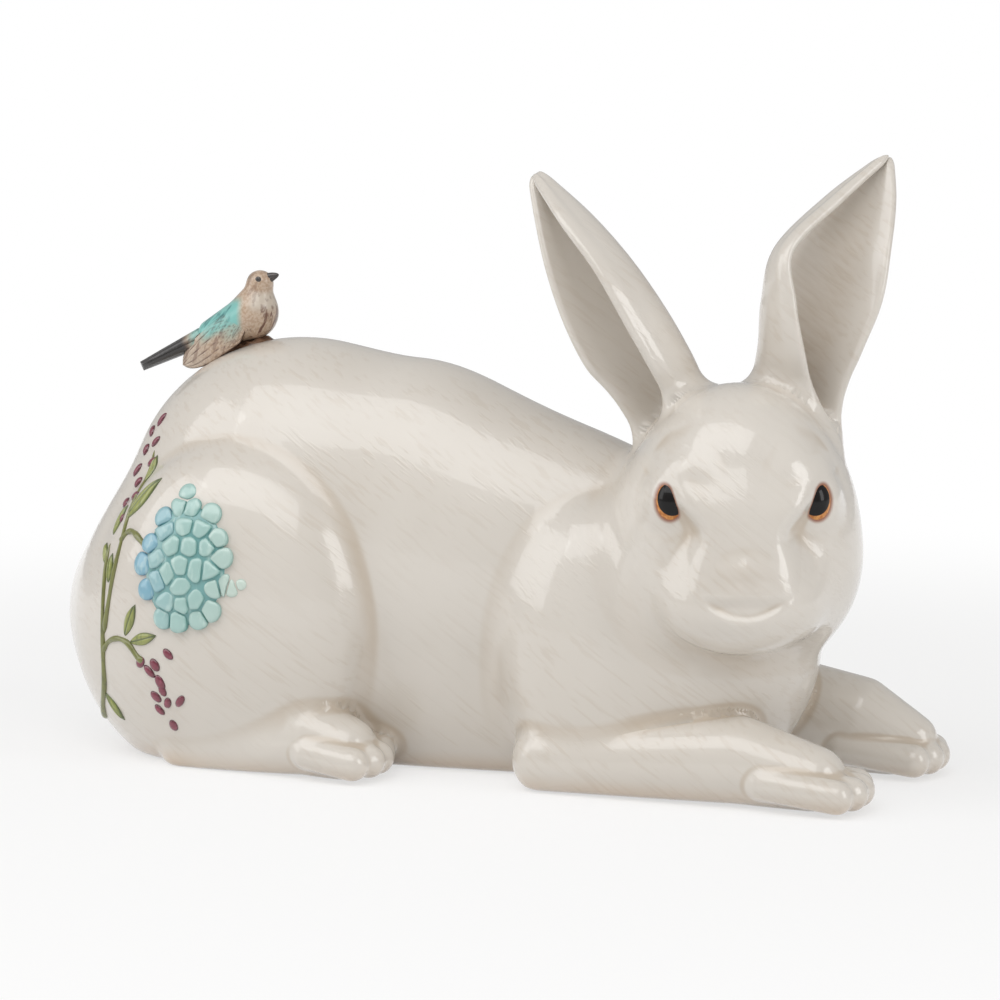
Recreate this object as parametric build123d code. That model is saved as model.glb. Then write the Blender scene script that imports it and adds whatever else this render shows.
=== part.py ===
from build123d import *
import math
import os
import numpy as np

# Glazed ceramic rabbit that lies on a flat base, its head turned towards its right side.
# Millimetres, +X towards the head end, +Y towards the rabbit's left, +Z up.
# The origin lies on the resting face, under the rabbit's midline.
# The ware is hollow: a torso shell and a head shell, with solid ears, legs, feet and tail luted on.
# A flower spray in relief sits on the right haunch, and a small bird sits on the rump.

# The torso
BODY_LENGTH = 368.0
BODY_WIDTH = 172.0
BODY_HEIGHT = 196.0
WALL = 6.0
VENT_DIAMETER = 8.0
VENT_PLACE = -70.0
NECK_VENT_DIAMETER = 14.0
HAUNCH_LENGTH = 152.0
HAUNCH_WIDTH = 72.0
HAUNCH_HEIGHT = 162.0
HAUNCH_PLACE = -122.0
HAUNCH_RISE = 77.0
SHOULDER_LENGTH = 88.0
SHOULDER_WIDTH = 60.0
SHOULDER_HEIGHT = 132.0
SHOULDER_PLACE = 70.0
SHOULDER_ASIDE = 36.0
SHOULDER_RISE = 62.0

# The head
HEAD_DEPTH = 130.0
HEAD_WIDTH = 112.0
HEAD_HEIGHT = 122.0
HEAD_FORWARD = 135.0
HEAD_ASIDE = -25.0
HEAD_RISE = 127.0
HEAD_TURN = -68.0
HEAD_WALL = 6.0

# The eyes, each a glossy bead let into the head
EYE_DEPTH = 27.0
EYE_WIDTH = 17.0
EYE_HEIGHT = 25.0
EYE_FORWARD = 23.0
EYE_ASIDE = 33.0
EYE_RISE = 13.0
EYE_TURN = 38.0

# The ears: a curled leaf each, told apart by how far each one leans out
EAR_HEIGHT_LEFT = 137.0
EAR_HEIGHT_RIGHT = 130.0
EAR_REACH_LEFT = 73.0
EAR_REACH_RIGHT = 97.0
EAR_DEPTH = 50.0
EAR_ROOT_RISE = 31.0
EAR_THICKNESS = 7.0

# The forelegs, hind feet and tail
FORELEG_LENGTH_RIGHT = 184.0
FORELEG_LENGTH_LEFT = 192.0
FORELEG_WIDTH = 50.0
FORELEG_HEIGHT = 58.0
FORELEG_PLACE = 24.0
FORELEG_ASIDE = 46.0
FOOT_LENGTH = 134.0
FOOT_WIDTH = 46.0
FOOT_HEIGHT = 43.0
FOOT_PLACE = -172.0
FOOT_ASIDE = 54.0
TAIL_LENGTH = 44.0
TAIL_WIDTH = 58.0
TAIL_HEIGHT = 66.0
TAIL_PLACE = -206.0
TAIL_RISE = 68.0

# The flower spray on the right haunch, placed round an upright axis through the rump
SPRAY_AXIS = -130.0
PETAL_WIDTH = 5.0
PETAL_THICKNESS = 4.0
PETAL_LEAN = 35.0
FLOWER_DIAMETER = 48.0
FLOWER_HEIGHT = 66.0
FLOWER_RISE = 103.0
FLOWER_TURN = -4.0
FLOWER_CROWN = 7.0
FLOWER_SINK = 9.0
STEM_DIAMETER = 3.6
LEAF_LENGTH = 28.0
LEAF_WIDTH = 6.0
LEAF_THICKNESS = 4.0
BERRY_DIAMETER = 5.2

# The bird and what it stands on
BIRD_LENGTH = 34.0
BIRD_WIDTH = 21.0
BIRD_HEIGHT = 42.0
BIRD_BREAST_LENGTH = 38.0
BIRD_BREAST_HEIGHT = 22.0
BIRD_HEAD_LENGTH = 15.0
BIRD_HEAD_WIDTH = 13.0
BIRD_HEAD_HEIGHT = 14.0
BIRD_PLACE = -128.0
BIRD_RISE = 197.0
WING_LENGTH = 42.0
WING_WIDTH = 17.0
WING_THICKNESS = 5.0
BIRD_TAIL_LENGTH = 38.0
BIRD_TAIL_WIDTH = 12.0
BIRD_TAIL_THICKNESS = 3.6
BEAK_LENGTH = 6.0
BEAK_DIAMETER = 3.6
BIRD_EYE_DIAMETER = 2.4
PERCH_LENGTH = 30.0
PERCH_WIDTH = 22.0
PERCH_HEIGHT = 26.0

# How a form's sections are laid: points round each section, and the least share of a section
# that a hollow keeps where the form is too small for its wall.
RING_POINTS = 16
SPANS = 2
LEAST_share = 0.3
FINE = 0.001

# Sections along each form: place along its length, then half width, top and bottom,
# in shares of its length, half width and height. A bottom under zero is cut flat at the base.
TORSO_station_shares = [
    (-0.595, 0.20, 0.43, 0.28), (-0.585, 0.40, 0.53, 0.20), (-0.555, 0.60, 0.64, 0.05),
    (-0.503, 0.78, 0.76, -0.06), (-0.408, 0.83, 0.90, -0.10), (-0.299, 0.83, 0.99, -0.11),
    (-0.163, 0.81, 0.985, -0.10), (-0.027, 0.72, 0.92, -0.09), (0.109, 0.67, 0.85, -0.09),
    (0.245, 0.65, 0.79, -0.08), (0.340, 0.56, 0.76, -0.06), (0.408, 0.42, 0.70, 0.01),
    (0.443, 0.24, 0.61, 0.11), (0.454, 0.10, 0.50, 0.22),
]
HEAD_station_shares = [
    (-0.460, 0.20, 0.26, 0.04), (-0.415, 0.48, 0.38, -0.11), (-0.310, 0.74, 0.47, -0.26),
    (-0.115, 0.96, 0.535, -0.41), (0.040, 0.98, 0.535, -0.45), (0.190, 0.80, 0.45, -0.467),
    (0.320, 0.60, 0.24, -0.467), (0.430, 0.48, 0.06, -0.443), (0.500, 0.34, -0.07, -0.377),
    (0.530, 0.16, -0.15, -0.295),
]
FORELEG_station_shares = [
    (0.01, 0.38, 0.50, 0.10), (0.05, 0.78, 0.78, -0.10), (0.20, 0.94, 0.86, -0.13),
    (0.41, 1.00, 1.00, -0.13), (0.63, 0.92, 0.88, -0.10), (0.79, 0.88, 0.74, -0.08),
    (0.90, 0.86, 0.58, -0.06), (0.97, 0.58, 0.40, 0.0), (1.0, 0.24, 0.27, 0.10),
]
FOOT_station_shares = [
    (0.01, 0.40, 0.65, 0.18), (0.09, 0.78, 0.88, -0.09), (0.39, 0.96, 0.98, -0.14),
    (0.69, 1.00, 0.98, -0.12), (0.84, 0.94, 0.88, -0.09), (0.94, 0.70, 0.60, -0.04),
    (1.0, 0.30, 0.40, 0.14),
]

# Ear outlines from root to tip, in shares: rise of the section; then how far aside the outer
# edge, the two bends of the curl and the inner edge lie; then how far forward the same four lie.
EAR_left_shares = [
    (0.00, 0.62, 0.04, 0.06, 0.40, -0.34, -1.00, -0.50, -0.04),
    (0.16, 0.63, 0.02, 0.04, 0.42, -0.20, -0.96, -0.42, -0.02),
    (0.34, 0.73, 0.05, 0.04, 0.36, -0.12, -0.96, -0.30, 0.08),
    (0.51, 0.85, 0.10, 0.09, 0.32, -0.16, -1.00, -0.28, 0.08),
    (0.68, 0.92, 0.22, 0.20, 0.37, -0.28, -1.00, -0.36, -0.04),
    (0.84, 0.96, 0.60, 0.52, 0.64, -0.56, -1.00, -0.66, -0.40),
    (0.94, 0.97, 0.86, 0.80, 0.82, -0.74, -0.94, -0.84, -0.68),
    (0.985, 0.98, 0.96, 0.93, 0.92, -0.84, -0.90, -0.90, -0.84),
]
EAR_right_shares = [
    (0.00, 0.39, 0.04, 0.04, 0.24, -0.60, -0.94, -0.52, -0.28),
    (0.17, 0.53, 0.08, 0.08, 0.31, -0.44, -0.88, -0.40, -0.12),
    (0.33, 0.67, 0.17, 0.17, 0.41, -0.36, -0.92, -0.28, 0.04),
    (0.50, 0.79, 0.29, 0.27, 0.53, -0.40, -0.96, -0.28, 0.08),
    (0.67, 0.88, 0.45, 0.43, 0.67, -0.52, -1.00, -0.36, 0.00),
    (0.83, 0.94, 0.70, 0.64, 0.80, -0.66, -1.00, -0.62, -0.30),
    (0.93, 0.97, 0.88, 0.84, 0.89, -0.78, -0.94, -0.78, -0.62),
    (0.985, 0.985, 0.97, 0.95, 0.94, -0.85, -0.90, -0.90, -0.85),
]
EAR_POINTS = 9
EAR_TIP_thin_share = 0.55
EAR_EDGE_thin_share = 0.5
EAR_STEEPNESS = 6

# Places in the spray: (degrees round the rump axis from straight aside, rise in body heights).
# A leaf also has its lean from upright in degrees and its share of the longest leaf.
MAIN_STEM_shares = [(46, 0.09), (33, 0.19), (30, 0.27), (29, 0.34), (30, 0.45), (32, 0.56)]
SECOND_STEM_shares = [(27.0, 0.37), (25, 0.42), (24, 0.49), (23, 0.56), (22, 0.63)]
BRANCH_shares = [(21.5, 0.575), (19, 0.58), (16, 0.58), (13.5, 0.575)]
LOWER_BRANCH_shares = [(27.5, 0.29), (24, 0.31), (19, 0.32), (14, 0.305)]
UPPER_BRANCH_shares = [(24, 0.66), (24, 0.70), (23, 0.74), (21, 0.77)]
LEAF_shares = [
    (31, 0.60, -5, 0.6), (27, 0.48, 0, 0.55), (19, 0.66, -30, 1.0), (28, 0.71, 20, 0.5),
    (14.5, 0.37, -32, 0.4), (8, 0.325, -77, 0.4), (27, 0.14, -150, 0.5),
]
UPPER_BERRY_shares = [
    (18, 0.79), (24, 0.79), (16, 0.75), (23.5, 0.745), (17.5, 0.71), (28, 0.765), (21, 0.81),
]
LOWER_BERRY_shares = [
    (0, 0.295), (11, 0.262), (5.5, 0.268), (8, 0.235), (3, 0.20), (6.5, 0.185),
    (2, 0.165), (-3, 0.18), (7, 0.145), (4, 0.11), (1.5, 0.235),
]
PETAL_RINGS = 4
PETAL_STEP = 7
PETAL_fill_share = 0.88
STEM_TAPER_share = 0.55

# Where the bird's pieces sit, in shares of the bird's length, width and height
BIRD_BREAST_place_shares = (-0.17, 0, 0.32)
BIRD_BREAST_PITCH = 33.0
BIRD_HEAD_place_shares = (0.20, 0, 0.76)
WING_place_shares = (-0.36, 0.42, 0.17)
WING_PITCH = 36.0
WING_TOE = 7.0
BIRD_TAIL_place_shares = (-1.08, 0, -0.02)
BIRD_TAIL_PITCH = 20.0
BEAK_place_shares = (0.43, 0, 0.84)
BEAK_PITCH = 35.0
BIRD_EYE_place_shares = (0.26, 0.28, 0.80)
PERCH_place_shares = (-0.05, 0, -0.06)


def closed_wire(ring):
    """A smooth closed wire through a ring of points, in a few spans with shared tangents."""
    count = len(ring)
    span = count // SPANS
    edges = []
    for first in range(0, count, span):
        picked = [ring[(first + step) % count] for step in range(span + 1)]
        ends = [(ring[(i + 1) % count] - ring[(i - 1) % count]) / 2 for i in (first, first + span)]
        edges.append(Edge.make_spline(
            [Vector(*point) for point in picked],
            tangents=[Vector(*end) for end in ends],
            parameters=list(range(span + 1)),
            scale=False,
        ))
    return Wire(edges)


def bulk(stations, length, width, height, wall=0.0, grounded=False):
    """A closed form along X through its sections, or the hollow that leaves this wall inside it.

    The hollow of a grounded form also leaves the wall above the base.
    """
    angles = np.linspace(0, 2 * math.pi, RING_POINTS, endpoint=False)
    middle = length * (stations[0][0] + stations[-1][0]) / 2
    wires = []
    for place, half_width, top, bottom in stations:
        low = max(bottom * height, 0) if grounded else bottom * height
        centre = (top * height + low) / 2
        high = (top * height - low) / 2
        wide = half_width * width / 2
        high = max(high - wall, high * LEAST_share)
        wide = max(wide - wall, wide * LEAST_share)
        along = middle + (place * length - middle) * (1 - 2 * wall / length)
        ring = np.column_stack([np.full(RING_POINTS, along), wide * np.cos(angles), centre + high * np.sin(angles)])
        wires.append(closed_wire(ring))
    return Solid.make_loft(wires)


def kept(shape):
    """The largest solid of a cut, without its crumbs."""
    return max(shape.solids(), key=lambda solid: solid.volume)


def seated(shapes, *tools):
    """Each shape with what lies inside the tools cut away."""
    return [kept(shape.cut(*tools)) for shape in shapes]


def bead(length, width, height, location):
    """An ellipsoid with these full sizes, put at a location."""
    return location * scale(Sphere(1), by=(length / 2, width / 2, height / 2))


def above_floor(shape):
    """What stands above the resting face."""
    size = 2 * (BODY_LENGTH + HEAD_DEPTH)
    return shape.cut(Pos(0, 0, -size / 2) * Box(size, size, size))


def head_place():
    """Where the head sits, turned about the upright axis."""
    return Pos(HEAD_FORWARD, HEAD_ASIDE, HEAD_RISE) * Rot(0, 0, HEAD_TURN)


def make_torso():
    """The torso before it is hollowed: trunk, haunches and shoulders."""
    trunk = bulk(TORSO_station_shares, BODY_LENGTH, BODY_WIDTH, BODY_HEIGHT)
    swells = []
    for side in (1, -1):
        haunch_aside = side * (BODY_WIDTH - HAUNCH_WIDTH) / 2
        swells.append(bead(HAUNCH_LENGTH, HAUNCH_WIDTH, HAUNCH_HEIGHT, Pos(HAUNCH_PLACE, haunch_aside, HAUNCH_RISE)))
        swells.append(bead(SHOULDER_LENGTH, SHOULDER_WIDTH, SHOULDER_HEIGHT,
                           Pos(SHOULDER_PLACE, side * SHOULDER_ASIDE, SHOULDER_RISE)))
    return kept(above_floor(trunk.fuse(*swells)))


def make_body_shell(torso):
    """The torso with its cavity, the vent in its base and the vent up into the head."""
    cavity = bulk(TORSO_station_shares, BODY_LENGTH, BODY_WIDTH, BODY_HEIGHT, WALL, grounded=True)
    vent = Pos(VENT_PLACE, 0, WALL) * Cylinder(VENT_DIAMETER / 2, 4 * WALL)
    neck = Pos(HEAD_FORWARD, 0, HEAD_RISE) * Cylinder(NECK_VENT_DIAMETER / 2, HEAD_HEIGHT / 2)
    return kept(torso.cut(cavity).cut(vent).cut(neck))


def make_eye(side):
    """An eye bead, turned out a little from straight ahead."""
    seat = Pos(EYE_FORWARD, side * EYE_ASIDE, EYE_RISE) * Rot(0, 0, side * EYE_TURN)
    return bead(EYE_DEPTH, EYE_WIDTH, EYE_HEIGHT, head_place() * seat)


def surface_of(grid):
    """A smooth face through a grid of points."""
    rows = [[Vector(*point) for point in row] for row in grid]
    return Face.make_surface_from_array_of_points(rows, tol=FINE, min_deg=3, max_deg=3)


def between(outer, inner):
    """The solid between two surfaces, closed by a strip along each of their edges."""
    strips = []
    for edge in outer.edges():
        twin = min(inner.edges(), key=lambda other: ((other @ 0.5) - (edge @ 0.5)).length)
        if ((twin @ 0) - (edge @ 0)).length > ((twin @ 1) - (edge @ 0)).length:
            twin = twin.reversed()
        strips.append(Face.make_surface_from_curves(edge, twin))
    return Solid(Shell([outer, inner] + strips))


def make_ear(side, table, height, reach):
    """A curled ear from its root inside the head to its tip, thinner at its edges and tip."""
    steps = np.linspace(0, 1, EAR_POINTS)[:, None]
    powers = np.arange(4)
    spread = np.array([1, 3, 3, 1]) * steps ** powers * (1 - steps) ** powers[::-1]
    edge_thin = 1 - EAR_EDGE_thin_share * np.abs(2 * steps - 1) ** EAR_STEEPNESS
    grids = {1: [], -1: []}
    for rise, *across in table:
        asides = np.array(across[:4]) * reach * side
        forwards = np.array(across[4:]) * EAR_DEPTH
        line = np.stack([spread @ forwards, spread @ asides], axis=1)
        heading = np.gradient(line, axis=0)
        heading /= np.linalg.norm(heading, axis=1)[:, None]
        normal = np.stack([-heading[:, 1], heading[:, 0]], axis=1)
        thickness = EAR_THICKNESS * edge_thin * (1 - EAR_TIP_thin_share * rise ** EAR_STEEPNESS)
        level = np.full(EAR_POINTS, EAR_ROOT_RISE + rise * height)
        for face, grid in grids.items():
            flat = line + normal * thickness / 2 * face
            grid.append(np.column_stack([flat, level])[::-side])
    return head_place() * between(surface_of(grids[1]), surface_of(grids[-1]))


def make_leg(stations, length, width, height, place, aside):
    """A foreleg or a hind foot, flat on the base."""
    return kept(above_floor(Pos(place, aside, 0) * bulk(stations, length, width, height)))


def on_rump(torso, turn, rise):
    """The frame on the rump's surface at a turn from straight aside: X upwards, Z outwards."""
    angle = math.radians(turn)
    out = Vector(-math.sin(angle), -math.cos(angle), 0)
    middle = Vector(SPRAY_AXIS, 0, rise * BODY_HEIGHT)
    hits = torso.find_intersection_points(Axis(middle + out * BODY_LENGTH, -out))
    point, normal = max(hits, key=lambda hit: (hit[0] - middle).dot(out))
    if normal.dot(out) < 0:
        normal = -normal
    upright = Vector(0, 0, 1)
    return Plane(point, x_dir=upright - normal * normal.dot(upright), z_dir=normal)


def make_stem(torso, places):
    """A stem laid on the surface through its places, thinner towards its end."""
    centres = [on_rump(torso, turn, rise).origin for turn, rise in places]
    radii = np.linspace(1, STEM_TAPER_share, len(centres)) * STEM_DIAMETER / 2
    wires = []
    for index, (centre, radius) in enumerate(zip(centres, radii)):
        ahead = centres[min(index + 1, len(centres) - 1)] - centres[max(index - 1, 0)]
        wires.append(Wire.make_circle(radius, Plane(centre, z_dir=ahead)))
    return Solid.make_loft(wires)


def make_petals(torso):
    """The flower's domed cushion and its rings of petals, each lifted off the dome at its tip."""
    middle = on_rump(torso, FLOWER_TURN, FLOWER_RISE / BODY_HEIGHT).location
    dome = FLOWER_CROWN + FLOWER_SINK
    cushion = bead(FLOWER_HEIGHT, FLOWER_DIAMETER, 2 * dome, middle * Pos(0, 0, -FLOWER_SINK))
    petals = []
    for ring in range(PETAL_RINGS):
        count = max(1, ring * PETAL_STEP)
        share = ring / PETAL_RINGS
        level = math.sqrt(1 - share * share)
        for number in range(count):
            angle = 2 * math.pi * (number + ring / 2) / count
            high = FLOWER_HEIGHT / 2 * share * math.cos(angle)
            wide = FLOWER_DIAMETER / 2 * share * math.sin(angle)
            reach = math.hypot(high, wide)
            slope = math.degrees(math.atan2(dome * share * share, level * reach)) if ring else 0
            seat = middle * Pos(high, wide, dome * level - FLOWER_SINK)
            lean = Rot(0, 0, math.degrees(math.atan2(wide, high))) * Rot(0, slope - PETAL_LEAN, 0)
            spacing = reach / ring / math.cos(math.radians(slope)) if ring else PETAL_WIDTH
            petals.append(bead(spacing * PETAL_fill_share, PETAL_WIDTH, PETAL_THICKNESS, seat * lean))
    return cushion, petals


def make_leaf(torso, turn, rise, lean, share):
    """A leaf lying on the surface, its tip leaning from straight up."""
    seat = on_rump(torso, turn, rise).location * Rot(0, 0, lean)
    return bead(share * LEAF_LENGTH, LEAF_WIDTH, LEAF_THICKNESS, seat)


def make_berry(torso, turn, rise):
    """A berry half sunk in the surface."""
    return on_rump(torso, turn, rise).location * Sphere(BERRY_DIAMETER / 2)


def bird_place(shares):
    """A place given in shares of the bird, in the part's frame."""
    ahead, aside, up = shares
    return Pos(BIRD_PLACE + ahead * BIRD_LENGTH, aside * BIRD_WIDTH, BIRD_RISE + up * BIRD_HEIGHT)


def make_bird(torso):
    """The bird's pieces by name, each cut where it meets the one that carries it."""
    body = bead(BIRD_BREAST_LENGTH, BIRD_WIDTH, BIRD_BREAST_HEIGHT,
                bird_place(BIRD_BREAST_place_shares) * Rot(0, -BIRD_BREAST_PITCH, 0))
    crown = bead(BIRD_HEAD_LENGTH, BIRD_HEAD_WIDTH, BIRD_HEAD_HEIGHT, bird_place(BIRD_HEAD_place_shares))
    crown = kept(crown.cut(body))
    ahead, aside, up = WING_place_shares
    wings = []
    for side in (1, -1):
        seat = bird_place((ahead, side * aside, up)) * Rot(0, -WING_PITCH, 180 + side * WING_TOE)
        wings.append(kept(bead(WING_LENGTH, WING_THICKNESS, WING_WIDTH, seat).cut(body)))
    tail_seat = bird_place(BIRD_TAIL_place_shares) * Rot(0, -BIRD_TAIL_PITCH, 180)
    tail = kept(bead(BIRD_TAIL_LENGTH, BIRD_TAIL_WIDTH, BIRD_TAIL_THICKNESS, tail_seat).cut(body, *wings))
    beak_seat = bird_place(BEAK_place_shares) * Rot(0, 90 - BEAK_PITCH, 0)
    beak = kept((beak_seat * Cone(BEAK_DIAMETER / 2, BEAK_DIAMETER / 8, 2 * BEAK_LENGTH)).cut(crown))
    ahead, aside, up = BIRD_EYE_place_shares
    eyes = [bird_place((ahead, side * aside, up)) * Sphere(BIRD_EYE_DIAMETER / 2) for side in (1, -1)]
    perch = bead(PERCH_LENGTH, PERCH_WIDTH, PERCH_HEIGHT, bird_place(PERCH_place_shares))
    return {
        "bird_body": [kept(body)],
        "bird_head": [kept(crown.cut(*eyes))],
        "bird_left_wing": wings[:1],
        "bird_right_wing": wings[1:],
        "bird_tail": [tail],
        "bird_beak": [beak],
        "bird_eyes": [kept(eye) for eye in eyes],
        "bird_perch": seated([perch], body, tail, *wings, torso),
    }


def make_spray(torso, carriers):
    """The flower spray's pieces by name, each seated on the haunch and on the piece before it."""
    cushion, petals = make_petals(torso)
    routes = (MAIN_STEM_shares, SECOND_STEM_shares, BRANCH_shares, LOWER_BRANCH_shares, UPPER_BRANCH_shares)
    stems = []
    for route in routes:
        stems.append(kept(make_stem(torso, route).cut(cushion, *stems)))
    leaves = seated([make_leaf(torso, *place) for place in LEAF_shares], cushion, *stems)
    upper = [make_berry(torso, *place) for place in UPPER_BERRY_shares]
    lower = [make_berry(torso, *place) for place in LOWER_BERRY_shares]
    return {
        "flower_cushion": seated([cushion], *carriers),
        "flower_petals": seated(petals, cushion),
        "flower_stems": seated(stems, *carriers),
        "leaves": seated(leaves, *carriers),
        "upper_berries": seated(upper, *stems, *leaves, *carriers),
        "lower_berries": seated(lower, *stems, *leaves, *carriers),
    }


def make_pieces():
    """Every piece of the rabbit by name, each a list of solids."""
    torso = make_torso()
    skull = head_place() * bulk(HEAD_station_shares, HEAD_DEPTH, HEAD_WIDTH, HEAD_HEIGHT)
    cavity = head_place() * bulk(HEAD_station_shares, HEAD_DEPTH, HEAD_WIDTH, HEAD_HEIGHT, HEAD_WALL)
    eyes = {side: make_eye(side) for side in (1, -1)}
    ears = {
        1: make_ear(1, EAR_left_shares, EAR_HEIGHT_LEFT, EAR_REACH_LEFT),
        -1: make_ear(-1, EAR_right_shares, EAR_HEIGHT_RIGHT, EAR_REACH_RIGHT),
    }
    tail = bead(TAIL_LENGTH, TAIL_WIDTH, TAIL_HEIGHT, Pos(TAIL_PLACE, 0, TAIL_RISE) * Rot(0, 0, 180))
    pieces = {
        "body_shell": [make_body_shell(torso)],
        "head_shell": [kept(skull.cut(*eyes.values()).cut(torso).cut(cavity))],
        "tail": [kept(tail.cut(torso))],
    }
    for side, name, length in ((1, "left", FORELEG_LENGTH_LEFT), (-1, "right", FORELEG_LENGTH_RIGHT)):
        pieces[name + "_eye"] = [kept(eyes[side].cut(cavity))]
        pieces[name + "_ear"] = [kept(ears[side].cut(skull))]
        foreleg = make_leg(FORELEG_station_shares, length, FORELEG_WIDTH, FORELEG_HEIGHT,
                           FORELEG_PLACE, side * FORELEG_ASIDE)
        pieces[name + "_foreleg"] = [kept(foreleg.cut(torso))]
        foot = make_leg(FOOT_station_shares, FOOT_LENGTH, FOOT_WIDTH, FOOT_HEIGHT, FOOT_PLACE, side * FOOT_ASIDE)
        pieces[name + "_hind_foot"] = [kept(foot.cut(torso))]
    pieces.update(make_spray(torso, (torso, *pieces["right_hind_foot"])))
    pieces.update(make_bird(torso))
    return pieces


os.makedirs("parts", exist_ok=True)
for name, solids in make_pieces().items():
    shape = solids[0] if len(solids) == 1 else Compound(solids)
    shape.label = name
    export_step(shape, f"parts/{name}.step")
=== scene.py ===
"""Dresses the glazed ceramic rabbit: its skin, face, ears, flower spray and bird, with their
glazes.

The forms are worked out in millimetres in the part's own frame, +X towards the head end, +Y towards
the rabbit's left and +Z up, and put into the meshes in metres.
"""
import math

import bpy
import numpy as np
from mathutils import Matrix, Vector


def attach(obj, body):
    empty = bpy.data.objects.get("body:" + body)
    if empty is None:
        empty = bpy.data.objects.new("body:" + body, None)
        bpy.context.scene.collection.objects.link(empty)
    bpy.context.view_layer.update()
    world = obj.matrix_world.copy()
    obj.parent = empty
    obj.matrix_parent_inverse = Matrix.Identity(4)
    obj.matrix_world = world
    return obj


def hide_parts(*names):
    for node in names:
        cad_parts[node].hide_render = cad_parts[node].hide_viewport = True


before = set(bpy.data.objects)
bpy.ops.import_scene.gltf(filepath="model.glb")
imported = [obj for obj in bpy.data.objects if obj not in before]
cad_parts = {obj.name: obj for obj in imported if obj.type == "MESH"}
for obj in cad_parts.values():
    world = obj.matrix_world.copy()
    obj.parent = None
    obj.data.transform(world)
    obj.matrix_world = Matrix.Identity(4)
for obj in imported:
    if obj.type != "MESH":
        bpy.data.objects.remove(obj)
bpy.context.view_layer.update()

MM = 0.001
TINY = 1e-9
SIDES = {"right": -1, "left": 1}

# The head's own frame: its middle, and how far its face turns from straight aside
HEAD = np.array([135.0, -25.0, 127.0])
HEAD_TURN = math.radians(22.0)
ACROSS = np.array([math.cos(HEAD_TURN), math.sin(HEAD_TURN), 0.0])
AHEAD = np.array([math.sin(HEAD_TURN), -math.cos(HEAD_TURN), 0.0])
UPWARD = np.array([0.0, 0.0, 1.0])
FACE = np.array([ACROSS, AHEAD, UPWARD])

# The eyes, their mounds and pupils, and the bridge of the face, in the head's frame. The bridge has
# a half width, a front and how far that front falls back at its sides, at even steps from its foot
# to its top.
EYE_ASIDE = 31.8
EYE_AHEAD = 30.0
EYE_RISE = 13.8
EYE_RADII = np.array([8.7, 9.4, 11.2])
EYE_MOUND = 2.0
PUPIL_SHIFT = np.array([0.6, 8.5, 2.0])
PUPIL_RADII = np.array([6.9, 12.0, 7.7])
BRIDGE_FOOT = -34.0
BRIDGE_TOP = 52.0
BRIDGE_BACK = 5.0
BRIDGE_ROUND = 9.0
BRIDGE = [(19, 49, 3), (20.5, 54, 4), (21.5, 54, 4), (22.5, 52.5, 4), (31.2, 49.5, 5.5),
          (36, 43, 10), (30, 33, 11), (20, 20, 8)]

# How widely neighbouring forms of clay run into each other
TRUNK_REACH = 20.0
HAUNCH_REACH = 7.0
SHOULDER_REACH = 10.0
NECK_REACH = 14.0
LIMB_REACH = 6.0
TOE_REACH = 3.0
EAR_REACH = 10.0
FLOOR_REACH = 3.0
BROW_REACH = 12.0
CHEEK_REACH = 18.0
MOUND_REACH = 8.0
BRIDGE_REACH = 5.0
BRIDGE_END_REACH = 12.0
NOSE_REACH = 6.0

# The trunk's round cones, each with its ends, their radii and how flat it is across, and the balls
# along the back
RUMP = ((-136, 0, 62), (-107, 0, 117), 66, 77, 0.76)
BACK = [((-84, 0, 106), 92), ((-42, 0, 104), 91), ((12, 0, 94), 74)]
BACK_FLATNESS = 0.61
WITHERS = ((0, 0, 94), (92, 0, 89), 70, 60, 0.72)
NECK = ((107, 0, 62), (128, -6, 108), 57, 42)
BELLY = ((-116, 0, 38), (100, 0, 36), 54, 40, 0.78)
TAIL = ((-188, 0, 66), (29, 31, 37))

# Rump, haunch and shoulder of the left side: middle, radii and how widely each runs in
SIDE_BALLS = [
    ((-125, 22, 64), (82, 60, 80), TRUNK_REACH),
    ((-110, 52, 76), (68, 35, 78), HAUNCH_REACH),
    ((70, 37, 64), (47, 30, 68), SHOULDER_REACH),
]

# The left side's limbs as balls, and where their toes start and end. The left foreleg is fuller on
# top and reaches further ahead than the right one.
HIND_FOOT = [((-132, 56, 6), 13), ((-68, 59, 18), 19), ((-50, 59, 13), 16.5)]
HIND_TOES = [(-62, 59, 13), (-33, 59, 9.5)]
FORELEG = [((50, 50, 14), 16.5), ((144, 48, 20), 20.5), ((179, 48, 13.5), 16)]
FORE_TOES = [(160, 48, 13), (201, 48, 9.5)]
LEFT_TOP = [((112, 44, 38), 20), ((171, 48, 26), 19.5), ((197, 48, 16.5), 13)]
LEFT_FURTHER = 8.0
TOE_SPREAD = 14.5
TOE_FALL = 0.4
TOE_FAN = 1.08
TOE_RADII = (7.5, 7.9)

# The head's ellipsoids and the round cone of its brow, in its own frame, and the smile's arc
SKULL = ((0, -10, 19), (47, 52, 43.5))
BROW = ((0, 6, 27), (0, 24, -14), 35, 26)
CHEEK = (np.array([30, -6, -14]), (28, 40, 44))
CHIN = ((0, 32, -34), (35, 27, 22))
NOSE = ((0, 42.5, -18), (16, 13.6, 10.5))
SMILE_LOW = -36.5
SMILE_RISE = 8.6
SMILE_HALF = 20.0
MOUTH_DEPTH = 2.6

# How the skins are cut out of the clay: the middle that the head is fanned from, the share of an
# axis that each end's fan takes, and the coarse steps outwards
HEAD_MIDDLE = np.array([0.0, 6.0, -2.0])
FAN_END = 0.24
SKIN_STEP = 3.0

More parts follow.
